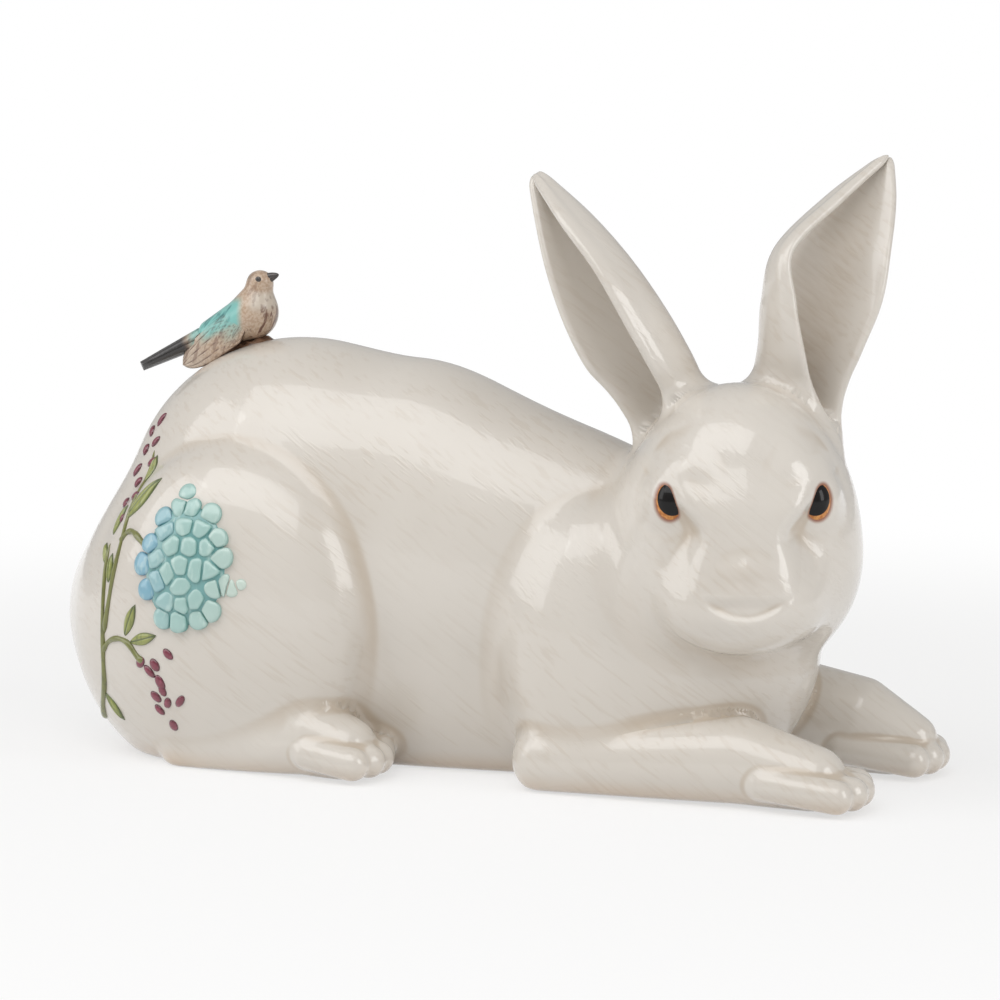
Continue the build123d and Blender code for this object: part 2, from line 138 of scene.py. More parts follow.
# The spray's upright axis through the rump, and where its parts sit round it:
# degrees round from straight aside towards the tail, and height above the base
RUMP_AXIS = -130.0
MAIN_STEM = [(48, 17), (40, 26), (33, 37), (30, 51), (29, 63), (29.5, 85), (32, 106)]
SECOND_STEM = [(28, 64), (26, 78), (24.5, 95), (23.5, 110), (24, 122), (27, 136), (34, 149)]
FLOWER_STEM = [(24.5, 108), (21, 113), (17, 113.5), (12, 110), (7, 106)]
LOWER_STEM = [(30, 54), (26, 60), (21, 62.5), (16, 61), (12, 55), (9.5, 53)]
LEAF_PLACES = [
    (31, 117, -4, 17), (27.5, 95, 3, 15), (18.5, 129, -30, 29), (27.5, 140, 14, 17),
    (15, 72, -24, 18), (9.5, 64, -74, 18), (31, 27, -150, 17), (33.5, 101, 30, 12),
]
LEAF_HALF_WIDTH = 0.17
LEAF_CROWN = 1.5
BERRY_PLACES = {
    "upper_berries": [(30, 119), (36, 124.5), (27, 129), (35, 134), (43, 139), (31, 144),
                      (45, 148.5), (37, 153), (50, 157), (43, 163)],
    "lower_berries": [(-0.5, 58), (11, 52.5), (5, 52), (7.5, 48.5), (3, 39.5), (6.2, 36),
                      (1.6, 33.5), (-3.5, 35), (5.6, 29.5), (1, 22), (3.6, 43.5)],
}
BERRY_SIZES = [(2.0, 2.6), (3.0, 4.2), (1.4, 1.8)]
FLOWER_TURN = -6.0
FLOWER_RISE = 101.0
FLOWER_HALF_WIDTH = 23.0
FLOWER_HALF_HEIGHT = 30.0
FLOWER_CROWN = 3.2
CUSHION_SHARE = 0.95
RING_TURN = 1.3
FLOWER_RINGS = [(0.0, 1, 8.5), (0.36, 5, 8.5), (0.66, 10, 8.0), (0.93, 14, 6.2)]
FLOWER_TUFTS = [(-3.5, 34.5, 5.2), (30.0, -7.0, 3.0), (25.5, -9.0, 4.6), (17.6, -9.5, 5.6)]
PETAL_CROWN = 1.3
PETAL_SEAM = 0.25
PETAL_TILT = -0.06
PETAL_CORNERS = 9
RELIEF_SUNK = 0.25
RELIEF_DEPTH = 1.6

# The bird, placed from where it stands on the back: its cones and head, the height where its head
# starts, the feathers' bow and cuts, the beak and the lump it stands on
PERCH = np.array([-129.0, 0.0, 194.0])
BIRD_TRUNK = ((5.5, 0, 18.5), (-17, 0, 9), 11.6, 6.8)
BIRD_NECK = ((7, 0, 22), (9, 0, 33.5), 9.4, 5.6)
BIRD_HEAD = ((9.2, 0, 34.6), (6.2, 5.8, 5.6))
BIRD_COLLAR = 22.0
WING_BOW = 3.5
WING_CUT = 0.45
TAIL_CUT = 0.35
TAIL_DEEPER = 1.5
BEAK_LENGTH = 7.0
BEAK_RADIUS = 3.0
PERCH_LUMP = ((-9, 0, -3.0), (12, 0, 2.0), 6.2, 6.4)

# The colours of the rabbit's skin
IVORY = (0.70, 0.655, 0.595)
DULL_IVORY = (0.655, 0.605, 0.54)
STROKE_TAN = (0.60, 0.53, 0.45)
# The tan of the wash and painted shade in the hollows
HOLLOW_WASH_AND_SHADE_TAN = (0.50, 0.40, 0.29)
BASE_BROWN = (0.56, 0.38, 0.22)
BLUSH_TAN = (0.47, 0.37, 0.27)
RIM_BROWN = (0.30, 0.11, 0.05)

# The camera: its turn round the part, rise, distance, aim and lens
CAMERA_TURN = math.radians(22.0)
CAMERA_RISE = math.radians(7.5)
CAMERA_AWAY = 2000.0
CAMERA_AIM = (6.0, 0.0, 128.0)
CAMERA_LENS = 150.5

# The floor and the lamps, in metres: each lamp's place, width, height and watts
FLOOR_HALF = 12.0
LAMP_AIM = (0.0, 0.0, 0.12)
LAMPS = [
    ("overhead", (-0.1, -0.9, 1.35), 1.9, 1.0, 11),
    ("left window", (-1.5, -0.8, 0.9), 0.9, 1.3, 6),
    ("right window", (1.8, -0.3, 0.8), 0.7, 1.2, 8),
]


# Forms of clay, each a function that is negative inside and positive outside

def ellipsoid(points, centre, radii):
    """Near distance to an ellipsoid: k (k - 1) / g, with k the length of the place in radii
    and g the length of the place in squared radii."""
    place = points - np.array(centre)
    ratio = np.linalg.norm(place / radii, axis=-1)
    slope = np.linalg.norm(place / np.square(radii), axis=-1)
    return ratio * (ratio - 1) / np.maximum(slope, TINY)


def limb(points, start, end, start_radius, end_radius, flatness=1.0):
    """Distance to a round cone between two balls, squeezed along Y by its flatness: the nearer
    ball beyond the ends, and between them the cone that touches both."""
    squeeze = np.array([1.0, 1 / flatness, 1.0])
    points, start, end = points * squeeze, np.array(start) * squeeze, np.array(end) * squeeze
    along = end - start
    length = along @ along
    shrink = start_radius - end_radius
    slant = length - shrink * shrink
    place = points - start
    first = place @ along
    second = first - length
    aside = np.square(place * length - first[..., None] * along).sum(-1)
    lean = np.sign(shrink) * shrink * shrink * aside
    cone = (np.sqrt(aside * slant / length) + first * shrink) / length - start_radius
    at_start = np.sqrt(aside + np.square(first) * length) / length - start_radius
    at_end = np.sqrt(aside + np.square(second) * length) / length - end_radius
    cone = np.where(np.sign(first) * slant * np.square(first) * length < lean, at_start, cone)
    cone = np.where(np.sign(second) * slant * np.square(second) * length > lean, at_end, cone)
    return cone * flatness


def blended(first, second, reach):
    """Both forms, run into each other: the lesser, less (reach - gap) squared over 4 reach."""
    near = np.maximum(reach - np.abs(first - second), 0)
    return np.minimum(first, second) - near * near / (4 * reach)


def carved(form, tool, reach):
    """A form less a tool, with a rounded edge."""
    return -blended(-form, tool, reach)


def eased(value, low, high):
    """A smooth step from 0 at low to 1 at high: 3 t squared less 2 t cubed."""
    share = np.clip((value - low) / (high - low), 0, 1)
    return share * share * (3 - 2 * share)


def unit(vectors):
    """Vectors brought to length 1."""
    return vectors / np.maximum(np.linalg.norm(vectors, axis=-1, keepdims=True), TINY)


def circle(count):
    """Angles at even steps right round, from 0."""
    return np.linspace(0, 2 * math.pi, count, endpoint=False)


def smooth_through(values, shares):
    """A smooth curve through values at even steps: cubic Hermite with central slopes."""
    values = np.asarray(values, float)
    slope = np.gradient(values, axis=0)
    place = np.clip(shares, 0, 1) * (len(values) - 1)
    index = np.minimum(place.astype(int), len(values) - 2)
    step = (place - index).reshape(-1, *[1] * (values.ndim - 1))
    start, end = values[index], values[index + 1]
    bend = step * step * (3 - 2 * step)
    leave = step * np.square(1 - step) * slope[index]
    arrive = step * step * (step - 1) * slope[index + 1]
    return start + bend * (end - start) + leave + arrive


def chain(points, balls, flatness=1.0):
    """A limb through a row of balls, each a middle and a radius: the nearest of its cones."""
    return np.min([limb(points, first, second, first_radius, second_radius, flatness)
                   for (first, first_radius), (second, second_radius) in zip(balls, balls[1:])],
                  axis=0)


def on_side(place, side, ahead=0.0):
    """A place that is given for the left side, on either side and moved ahead."""
    return np.array([place[0] + ahead, side * place[1], place[2]])


def torso(points):
    """Trunk, neck, haunches and shoulders, run together."""
    form = limb(points, *RUMP)
    form = blended(form, chain(points, BACK, BACK_FLATNESS), TRUNK_REACH)
    form = blended(form, limb(points, *WITHERS), TRUNK_REACH)
    form = blended(form, limb(points, *NECK), TRUNK_REACH)
    for side in SIDES.values():
        for middle, radii, reach in SIDE_BALLS:
            form = blended(form, ellipsoid(points, on_side(middle, side), radii), reach)
    return blended(form, limb(points, *BELLY), TRUNK_REACH)


def tail(points):
    """A soft tuft against the rump."""
    return ellipsoid(points, *TAIL)


def further(side):
    """How much further ahead the left foreleg reaches, and nothing for the right one."""
    return LEFT_FURTHER if side > 0 else 0.0


def toes(points, form, ends, side, ahead=0.0):
    """Four toes added to a paw, fanned a little and shorter at the sides."""
    root, tip = (on_side(place, side, ahead) for place in ends)
    for aside in np.linspace(-TOE_SPREAD, TOE_SPREAD, 4):
        knuckle = root + [0, aside, 0]
        end = tip + [-abs(aside) * TOE_FALL, aside * TOE_FAN, 0]
        form = blended(form, limb(points, knuckle, end, *TOE_RADII), TOE_REACH)
    return form


def hind_foot(points, side):
    """A long hind foot that comes forward from under the haunch."""
    form = chain(points, [(on_side(place, side), radius) for place, radius in HIND_FOOT])
    return toes(points, form, HIND_TOES, side)


def foreleg(points, side):
    """A foreleg laid out ahead, the left one reaching a little further and fuller on top."""
    ahead = further(side)
    *upper, (paw, paw_radius) = FORELEG
    balls = [(on_side(place, side), radius) for place, radius in upper]
    form = chain(points, [*balls, (on_side(paw, side, ahead), paw_radius)])
    if side > 0:
        form = blended(form, chain(points, LEFT_TOP), LIMB_REACH)
    return toes(points, form, FORE_TOES, side, ahead)


def eyeball(place, side):
    """An eye, in the head's frame."""
    return ellipsoid(place, (side * EYE_ASIDE, EYE_AHEAD, EYE_RISE), EYE_RADII)


def bridge(place):
    """The flat front of the face, a rounded slab that stands ahead of the skull: its half width and
    its front follow smooth curves of height, wide over the eyes and narrow down to the nose."""
    aside, ahead, up = place.T
    share = (up - BRIDGE_FOOT) / (BRIDGE_TOP - BRIDGE_FOOT)
    half, front, fall = smooth_through(BRIDGE, share).T
    front = front - fall * np.minimum(np.abs(aside) / half, 1.2) ** 3
    beyond = np.stack([np.abs(aside) - half, ahead - front], axis=-1) + BRIDGE_ROUND
    outside = np.linalg.norm(np.maximum(beyond, 0), axis=-1)
    pillar = outside + np.minimum(beyond.max(axis=-1), 0) - BRIDGE_ROUND
    slab = carved(pillar, np.minimum(BRIDGE_TOP - up, up - BRIDGE_FOOT), BRIDGE_END_REACH)
    return np.maximum(slab, BRIDGE_BACK - ahead)


def mouth(place):
    """How deep the mouth is pressed in: a crescent from under the nose down to the smile's arc."""
    aside, ahead, up = place.T
    arc = SMILE_LOW + SMILE_RISE * np.square(aside / SMILE_HALF)
    pressed = eased(up - arc, -2.6, 2.4) * (1 - eased(up, -32, -25))
    pressed *= 1 - eased(np.abs(aside), 10, 25)
    return MOUTH_DEPTH * pressed * eased(ahead, 38, 46)


def head(points):
    """Skull, cheeks, the flat bridge, nose and muzzle, a low mound round each eye, and the smile
    pressed in."""
    place = (points - HEAD) @ FACE.T
    form = blended(ellipsoid(place, *SKULL), limb(place, *BROW), BROW_REACH)
    for side in SIDES.values():
        form = blended(form, ellipsoid(place, CHEEK[0] * [side, 1, 1], CHEEK[1]), CHEEK_REACH)
    form = blended(form, ellipsoid(place, *CHIN), CHEEK_REACH)
    for side in SIDES.values():
        middle = (side * (EYE_ASIDE + 1), EYE_AHEAD - 5, EYE_RISE)
        mound = ellipsoid(place, middle, EYE_RADII + EYE_MOUND)
        form = blended(form, mound, MOUND_REACH)
    up = place[..., 2]
    edge = eased(np.abs(place[..., 0]), 8, 24)
    reach = BRIDGE_REACH + edge * (8 * (1 - eased(up, -14, 3)) + 9 * eased(up, 20, 34))
    form = blended(form, bridge(place), reach)
    form = blended(form, ellipsoid(place, *NOSE), NOSE_REACH)
    return form + mouth(place)


def nose_wash(place):
    """Where the nose is washed with tan."""
    aside, ahead, up = place.T
    return 0.24 * np.exp(-np.square(aside / 13) - np.square((up + 18) / 9)) * eased(ahead, 40, 48)


PARTS = {
    "torso": (torso, (-235, -100, -30), (180, 100, 205)),
    "head": (head, (70, -100, 55), (200, 50, 205)),
    "tail": (tail, (-230, -38, 24), (-162, 38, 108)),
    "right_hind_foot": (lambda points: hind_foot(points, -1), (-148, -84, -8), (-22, -36, 42)),
    "left_hind_foot": (lambda points: hind_foot(points, 1), (-148, 36, -8), (-22, 84, 42)),
    "right_foreleg": (lambda points: foreleg(points, -1), (28, -74, -6), (212, -24, 44)),
    "left_foreleg": (lambda points: foreleg(points, 1), (28, 22, -6), (220, 74, 58)),
}
PART_REACHES = {"head": NECK_REACH, "tail": TRUNK_REACH, "right_ear": EAR_REACH,
                "left_ear": EAR_REACH}

# How far off a part counts as its box alone, how far a skin runs on past its seam, and how deep it
# dips there
FAR = 30.0
SEAM = 9.0
DIP = 1.4


def distances(points):
    """Each part's distance: its own form near it, and the distance to its box further away."""
    found = {}
    for name, (form, low, high) in PARTS.items():
        gap = np.maximum(np.array(low) - points, points - np.array(high))
        away = np.linalg.norm(np.maximum(gap, 0), axis=-1)
        near = away < FAR
        value = away + FAR
        value[near] = form(points[near])
        found[name] = value
    return found


def joined(found, points):
    """The parts run into each other and cut off at the resting face."""
    clay = found["torso"]
    for name, value in found.items():
        if name != "torso":
            clay = blended(clay, value, PART_REACHES.get(name, LIMB_REACH))
    return carved(clay, points[..., 2], FLOOR_REACH)


def clay(points):
    """The whole rabbit but its ears."""
    return joined(distances(points), points)


def dipped(skin, past):
    """A skin that sinks by the square of how far it is past its seam, and ends there."""
    return np.maximum(skin + DIP * np.square(np.clip(past / SEAM, 0, 1)), (past - SEAM) / 2)


def share_of(name):
    """The part of the clay that one piece covers: up to its seams and a little past them, where
    it dips under its neighbour."""
    def form(points):
        found = distances(points)
        others = np.min([value for other, value in found.items() if other != name], axis=0)
        past = found[name] - others
        return dipped(joined(found, points), past)
    return form


def slopes(form, points, step=0.5):
    """Unit normals of a form at points, by differences over a small step."""
    shifts = step * np.eye(3)
    return unit(np.stack([form(points + shift) - form(points - shift) for shift in shifts],
                         axis=-1))


def hollowness(form, points, step=3.0):
    """How hollow the surface is at points: minus the sum of a form's second differences."""
    shifts = step * np.concatenate([np.eye(3), -np.eye(3)])
    bend = sum(form(points + shift) for shift in shifts) - 6 * form(points)
    return -bend / (step * step)


def reach_of(form, starts, ways, reach, coarse=20, halvings=12, numbered=False):
    """How far along each way from its start a form first turns positive: by coarse steps, then by
    halvings. A numbered form is also given which of the starts its points come from."""
    value = form if numbered else lambda points, which: form(points)
    low, high = np.zeros(len(starts)), np.full(len(starts), float(reach))
    every = searching = np.arange(len(starts))
    steps = np.linspace(0, reach, coarse)
    for near, far in zip(steps[:-1], steps[1:]):
        outside = value(starts[searching] + far * ways[searching], searching) > 0
        found = searching[outside]
        low[found], high[found] = near, far
        searching = searching[~outside]
        if not len(searching):
            break
    for _ in range(halvings):
        middle = (low + high) / 2
        inside = value(starts + middle[:, None] * ways, every) < 0
        low, high = np.where(inside, middle, low), np.where(inside, high, middle)
    return low


# Meshes

def put_mesh(name, points, faces, material, slot, nodes, **marks):
    """A smooth piece from points in millimetres and faces of three or four corners, riding on the
    part. Marks are numbers kept for its points, 0 for points past the last one given."""
    mesh = bpy.data.meshes.new(name)
    faces = [np.asarray(group) for group in faces]
    corners = np.concatenate([group.ravel() for group in faces])
    sizes = np.concatenate([np.full(len(group), group.shape[1]) for group in faces])
    mesh.vertices.add(len(points))
    mesh.vertices.foreach_set("co", (np.asarray(points) * MM).ravel())
    mesh.loops.add(len(corners))
    mesh.loops.foreach_set("vertex_index", corners)
    mesh.polygons.add(len(sizes))
    mesh.polygons.foreach_set("loop_start", np.concatenate([[0], np.cumsum(sizes)[:-1]]))
    mesh.polygons.foreach_set("use_smooth", np.ones(len(sizes), bool))
    mesh.update(calc_edges=True)
    mesh.validate()
    for mark, given in marks.items():
        values = np.zeros(len(points), np.float32)
        values[:given.size] = given.ravel()
        mesh.attributes.new(mark, "FLOAT", "POINT").data.foreach_set("value", values)
    mesh.materials.append(material)
    piece = bpy.data.objects.new(name, mesh)
    bpy.context.collection.objects.link(piece)
    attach(piece, "root")
    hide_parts(*nodes)


def grid_faces(rows, columns):
    """Four-cornered faces of a grid that closes round its columns."""
    row, column = np.meshgrid(np.arange(rows - 1), np.arange(columns), indexing="ij")
    here, after = row * columns + column, row * columns + (column + 1) % columns
    return np.stack([here, after, after + columns, here + columns], axis=-1).reshape(-1, 4)


def closed_tube(rows):
    """Points and faces of a tube of rings, each end closed by a fan to the middle of its ring.
    Rings run round so that the faces point outwards."""
    count, columns, _ = rows.shape
    points = np.concatenate([rows.reshape(-1, 3), rows[[0, -1]].mean(axis=1)])
    around = np.arange(columns)
    after = (around + 1) % columns
    last = (count - 1) * columns
    start = np.stack([np.full(columns, count * columns), after, around], axis=-1)
    end = np.stack([np.full(columns, count * columns + 1), last + around, last + after], axis=-1)
    return points, [grid_faces(count, columns), np.concatenate([start, end])]


def several(shapes):
    """Many shapes' points and faces as one."""
    points, quads, triangles = [], [], []
    shift = 0
    for place, (four, three) in shapes:
        points.append(place)
        quads.append(four + shift)
        triangles.append(three + shift)
        shift += len(place)
    return np.concatenate(points), [np.concatenate(quads), np.concatenate(triangles)]


def fan_ways(first, last, stations, spokes, spacing=lambda share: share):
    """Starts along an axis and ways out from it: square to it along the middle, and fanned from
    straight back at the first end to straight ahead at the last."""
    first, last = np.array(first, float), np.array(last, float)
    axis = unit(last - first)
    side = unit(np.cross(UPWARD, axis))
    top = np.cross(axis, side)
    share = spacing((np.arange(stations) + 0.5) / stations)
    along = np.clip((share - FAN_END) / (1 - 2 * FAN_END), 0, 1)
    at_first, at_last = share / FAN_END, (share - 1 + FAN_END) / FAN_END
    lean = (np.clip(at_first, 0, 1) - 1 + np.clip(at_last, 0, 1)) * math.pi / 2
    turn = circle(spokes)[None, :, None]
    ring = np.cos(turn) * side + np.sin(turn) * top
    ways = np.cos(lean)[:, None, None] * ring + np.sin(lean)[:, None, None] * axis
    starts = first + along[:, None, None] * (last - first) + 0 * ways
    return starts.reshape(-1, 3), ways.reshape(-1, 3)


def fanned(form, first, last, rows, columns, reach):
    """Points and faces of a form that is fanned round an axis."""
    starts, ways = fan_ways(first, last, rows, columns)
    far = reach_of(form, starts, ways, reach)
    return closed_tube((starts + far[:, None] * ways).reshape(rows, columns, 3))


def skin_piece(name, node, form, starts, ways, stations, spokes, reach, material):
    """A piece of the rabbit's skin: where the ways out of its axis leave its form. The tan wash and
    painted shade in its hollows is left out at the mouth and near the ears."""
    far = reach_of(form, starts, ways, reach, coarse=round(reach / SKIN_STEP))
    points, faces = closed_tube((starts + far[:, None] * ways).reshape(stations, spokes, 3))
    place = (points - HEAD) @ FACE.T
    aside, ahead, up = place.T
    at_mouth = np.exp(-np.square(aside / 42) - np.square((up + 28) / 16)) * eased(ahead, 30, 42)
    found = distances(points)
    ear_gap = np.minimum(found["right_ear"], found["left_ear"])
    quiet = 1 - 0.75 * (1 - eased(ear_gap, 3, 16))
    rim = np.min([eyeball(place, side) for side in SIDES.values()], axis=0)
    # The hollow mark carries a tan wash and painted shade into the skin's hollows
    put_mesh(name, points, faces, material, "glaze", [node], rim=1 - eased(rim, 0.1, 1.2),
             hollow=hollowness(clay, points) * (1 - 0.9 * at_mouth) * quiet, blush=nose_wash(place))


# Glazes

class Glaze:
    """A glossy ceramic glaze, or the floor's paper, and the nodes that colour it."""

    def __init__(self, name, roughness=0.3, coat=1.0, coat_roughness=0.04, bump=0.25):
        self.material = bpy.data.materials.new(name)
        self.material.use_nodes = True
        self.nodes = self.material.node_tree.nodes
        self.links = self.material.node_tree.links
        self.shader = self.nodes["Principled BSDF"]
        self.shader.inputs["Roughness"].default_value = roughness
        self.shader.inputs["Coat Weight"].default_value = coat
        self.shader.inputs["Coat Roughness"].default_value = coat_roughness
        self.bump_strength = bump
        self.place = self.nodes.new("ShaderNodeTexCoord").outputs["Object"]

    def put(self, socket, value):
        """A link if the value is a socket, or else the socket's own value."""
        if isinstance(value, bpy.types.NodeSocket):
            self.links.new(value, socket)
        else:
            socket.default_value = value

    def mark(self, name):
        """A number kept for each point of the piece."""
        node = self.nodes.new("ShaderNodeAttribute")
        node.attribute_name = name
        return node.outputs["Fac"]

    def ease(self, value, low, high, least=0.0, most=1.0):
        """A value carried smoothly from low..high to least..most."""
        node = self.nodes.new("ShaderNodeMapRange")
        node.interpolation_type = "SMOOTHSTEP"
        for socket, given in zip(node.inputs, (value, low, high, least, most)):
            self.put(socket, given)
        return node.outputs["Result"]

    def reckon(self, operation, first, second):
        """Arithmetic on two values."""
        node = self.nodes.new("ShaderNodeMath")
        node.operation = operation
        self.put(node.inputs[0], first)
        self.put(node.inputs[1], second)
        return node.outputs[0]

    def mix(self, share, first, second):
        """One colour shading into another. Sockets 6 and 7 of a mix node are its two colours."""
        node = self.nodes.new("ShaderNodeMix")
        node.data_type = "RGBA"
        for number, given in ((0, share), (6, first), (7, second)):
            self.put(node.inputs[number], (*given, 1.0) if isinstance(given, tuple) else given)
        return node.outputs[2]

    def wash(self, first, second, value, low, high, least=0.0, most=1.0):
        """One colour shading into another as a value goes from low to high."""
        return self.mix(self.ease(value, low, high, least, most), first, second)

    def cloud(self, scale, stretch=(1, 1, 1), turn=(0, 0, 0), detail=3.0):
        """Soft noise over the piece, drawn out along its axes."""
        mapping = self.nodes.new("ShaderNodeMapping")
        mapping.vector_type = "TEXTURE"
        mapping.inputs["Scale"].default_value = [1 / along for along in stretch]
        mapping.inputs["Rotation"].default_value = [math.radians(angle) for angle in turn]
        self.put(mapping.inputs["Vector"], self.place)
        node = self.nodes.new("ShaderNodeTexNoise")
        node.inputs["Scale"].default_value = scale
        node.inputs["Detail"].default_value = detail
        self.put(node.inputs["Vector"], mapping.outputs["Vector"])
        return node.outputs["Fac"]

    def height(self):
        """The height above the resting face, in metres."""
        node = self.nodes.new("ShaderNodeSeparateXYZ")
        self.put(node.inputs[0], self.place)
        return node.outputs["Z"]

    def finish(self, colour, relief=None, depth=0.0):
        """Colours the glaze and presses a relief into it, its depth in metres."""
        self.put(self.shader.inputs["Base Color"], colour)
        if relief is not None:
            bump = self.nodes.new("ShaderNodeBump")
            bump.inputs["Strength"].default_value = self.bump_strength
            bump.inputs["Distance"].default_value = depth
            self.put(bump.inputs["Height"], relief)
            for socket in ("Normal", "Coat Normal"):
                self.put(self.shader.inputs[socket], bump.outputs["Normal"])
        return self.material


def ivory_glaze():
    """Ivory with a tan wash and painted shade in the hollows, tan along the base, and fine brushed
    hair strokes.
    """
    glaze = Glaze("ivory glaze", roughness=0.35, bump=0.12)
    strokes = glaze.cloud(330, stretch=(0.12, 0.5, 1.5), turn=(0, 38, 20), detail=2)
    patches = glaze.cloud(14, detail=2)
    stroke = glaze.ease(strokes, 0.52, 0.68)
    colour = glaze.wash(IVORY, DULL_IVORY, patches, 0.35, 0.65, 0, 0.5)
    shown = glaze.reckon("MULTIPLY", stroke, glaze.ease(patches, 0.38, 0.6, 0.08, 0.42))
    colour = glaze.mix(shown, colour, STROKE_TAN)
    # Tan wash and painted shade where the surface is hollow
    colour = glaze.wash(colour, HOLLOW_WASH_AND_SHADE_TAN, glaze.mark("hollow"), -0.01, 0.13, 0, 0.62)
    base = glaze.reckon("MULTIPLY", glaze.ease(glaze.height(), 0.012, 0.0, 0, 0.5),
                        glaze.ease(patches, 0.3, 0.6, 0.4, 1.0))
    colour = glaze.mix(base, colour, BASE_BROWN)
    blush = glaze.reckon("MULTIPLY", glaze.mark("blush"),
                         glaze.ease(strokes, 0.3, 0.6, 0.55, 1.0))
    colour = glaze.mix(blush, colour, BLUSH_TAN)
    return glaze.finish(glaze.mix(glaze.mark("rim"), colour, RIM_BROWN), stroke, 0.0004)


def eye_glaze():
    """A black pupil in an amber ring, red-brown outside it."""
    glaze = Glaze("eye glaze", roughness=0.3, coat=0.4, coat_roughness=0.02)
    glaze.shader.inputs["Specular IOR Level"].default_value = 0.12
    ring = glaze.mark("ring")
    streaks = glaze.cloud(500, detail=2)
    amber = glaze.wash((0.50, 0.17, 0.04), (0.72, 0.33, 0.10), streaks, 0.35, 0.65)
    colour = glaze.wash((0.004, 0.003, 0.003), amber, ring, 0.97, 1.02)
    return glaze.finish(glaze.wash(colour, (0.22, 0.06, 0.025), ring, 1.22, 1.34))


def petal_glaze():
    """Pale turquoise, deeper in the seams and at the roots, and bluer towards the tail."""
    glaze = Glaze("petal glaze", roughness=0.3, bump=0.2)
    veins = glaze.cloud(260, stretch=(1, 1, 0.4), detail=3)
    pale = glaze.mix(glaze.mark("blue"), (0.37, 0.57, 0.53), (0.13, 0.36, 0.55))
    deep = glaze.mix(glaze.mark("blue"), (0.15, 0.37, 0.34), (0.04, 0.20, 0.42))
    colour = glaze.wash(deep, pale, glaze.mark("crown"), 0.05, 0.75)
    colour = glaze.wash(colour, (0.62, 0.78, 0.72), veins, 0.55, 0.7, 0, 0.35)
    return glaze.finish(glaze.mix(glaze.mark("fade"), colour, (0.66, 0.74, 0.66)), veins, 0.0002)


def leaf_glaze(name, bright, dark):
    """Olive green, dark along the midrib and the edge, with streaks along the leaf."""
    glaze = Glaze(name, roughness=0.3, bump=0.2)
    streaks = glaze.cloud(240, stretch=(2.5, 2.5, 0.5), detail=3)
    colour = glaze.wash(dark, bright, glaze.mark("crown"), 0.15, 0.8)
    return glaze.finish(glaze.wash(colour, dark, streaks, 0.5, 0.7, 0, 0.5), streaks, 0.0002)


def berry_glaze():
    """Burgundy, paler and pinker on the crown of each berry, a painted highlight."""
    glaze = Glaze("berry glaze", roughness=0.25)
    mottle = glaze.cloud(420, detail=3)
    # The paler colour on each crown is a painted highlight
    colour = glaze.wash((0.075, 0.006, 0.015), (0.20, 0.018, 0.045), glaze.mark("crown"), 0.2, 1.0)
    colour = glaze.wash(colour, (0.33, 0.06, 0.11), mottle, 0.5, 0.75, 0, 0.6)
    return glaze.finish(colour, mottle, 0.0002)


def plumage_glaze():
    """Buff feathers with turquoise over the back, brown streaks down the breast and dark lines
    where the feathers are cut in."""
    glaze = Glaze("plumage glaze", roughness=0.38, coat=0.7, coat_roughness=0.12, bump=0.5)
    streaks = glaze.cloud(330, stretch=(1, 1, 0.22), turn=(0, 25, 0), detail=4)
    speckle = glaze.cloud(800, detail=4)
    colour = glaze.wash((0.46, 0.32, 0.22), (0.56, 0.43, 0.32), speckle, 0.4, 0.6)
    colour = glaze.mix(glaze.mark("pale"), colour, (0.60, 0.52, 0.43))
    streaked = glaze.reckon("MULTIPLY", glaze.ease(streaks, 0.52, 0.62), glaze.mark("streaky"))
    colour = glaze.mix(streaked, colour, (0.14, 0.06, 0.035))
    teal = glaze.wash((0.20, 0.52, 0.48), (0.06, 0.24, 0.24), streaks, 0.5, 0.66)
    colour = glaze.mix(glaze.mark("teal"), colour, teal)
    colour = glaze.mix(glaze.mark("line"), colour, (0.11, 0.045, 0.025))
    colour = glaze.mix(glaze.mark("dark"), colour, (0.018, 0.015, 0.015))
    return glaze.finish(colour, streaks, 0.0004)


def dark_glaze():
    """Brown-black for the beak and the bird's eyes."""
    glaze = Glaze("dark glaze", roughness=0.3)
    mottle = glaze.cloud(700, detail=3)
    colour = glaze.wash((0.02, 0.015, 0.012), (0.07, 0.05, 0.04), mottle, 0.45, 0.7)
    return glaze.finish(colour, mottle, 0.0001)


def perch_glaze():
    """Dark bark brown with rough streaks."""
    glaze = Glaze("perch glaze", roughness=0.45, coat=0.6, coat_roughness=0.15, bump=0.6)
    bark = glaze.cloud(240, stretch=(0.5, 1, 2.5), detail=5)
    colour = glaze.wash((0.085, 0.04, 0.022), (0.25, 0.14, 0.085), bark, 0.4, 0.65)
    return glaze.finish(colour, bark, 0.0006)


# The rabbit's skin

def make_torso(material):
    """The torso, fanned round a level axis through the trunk."""
    stations, spokes = 330, 290
    starts, ways = fan_ways((-140, 0, 84), (92, 0, 84), stations, spokes)
    skin_piece("torso_skin", "body_shell", share_of("torso"), starts, ways, stations, spokes, 150,
               material)


def make_head(material):
    """The head, fanned round an upright axis, with more spokes towards the face."""
    stations, spokes = 300, 320
    turn = circle(spokes)
    turn = turn + 0.55 * np.sin(turn)
    rise = np.linspace(-1, 1, stations + 2)[1:-1, None, None] * math.pi / 2
    level = np.stack([np.sin(turn), -np.cos(turn)], axis=-1)
    ways = np.concatenate([np.cos(rise) * level, np.sin(rise) + 0 * level[..., :1]], axis=-1)
    starts = np.zeros_like(ways).reshape(-1, 3) + HEAD + HEAD_MIDDLE @ FACE
    skin_piece("head_skin", "head_shell", share_of("head"), starts, ways.reshape(-1, 3) @ FACE,
               stations, spokes, 110, material)


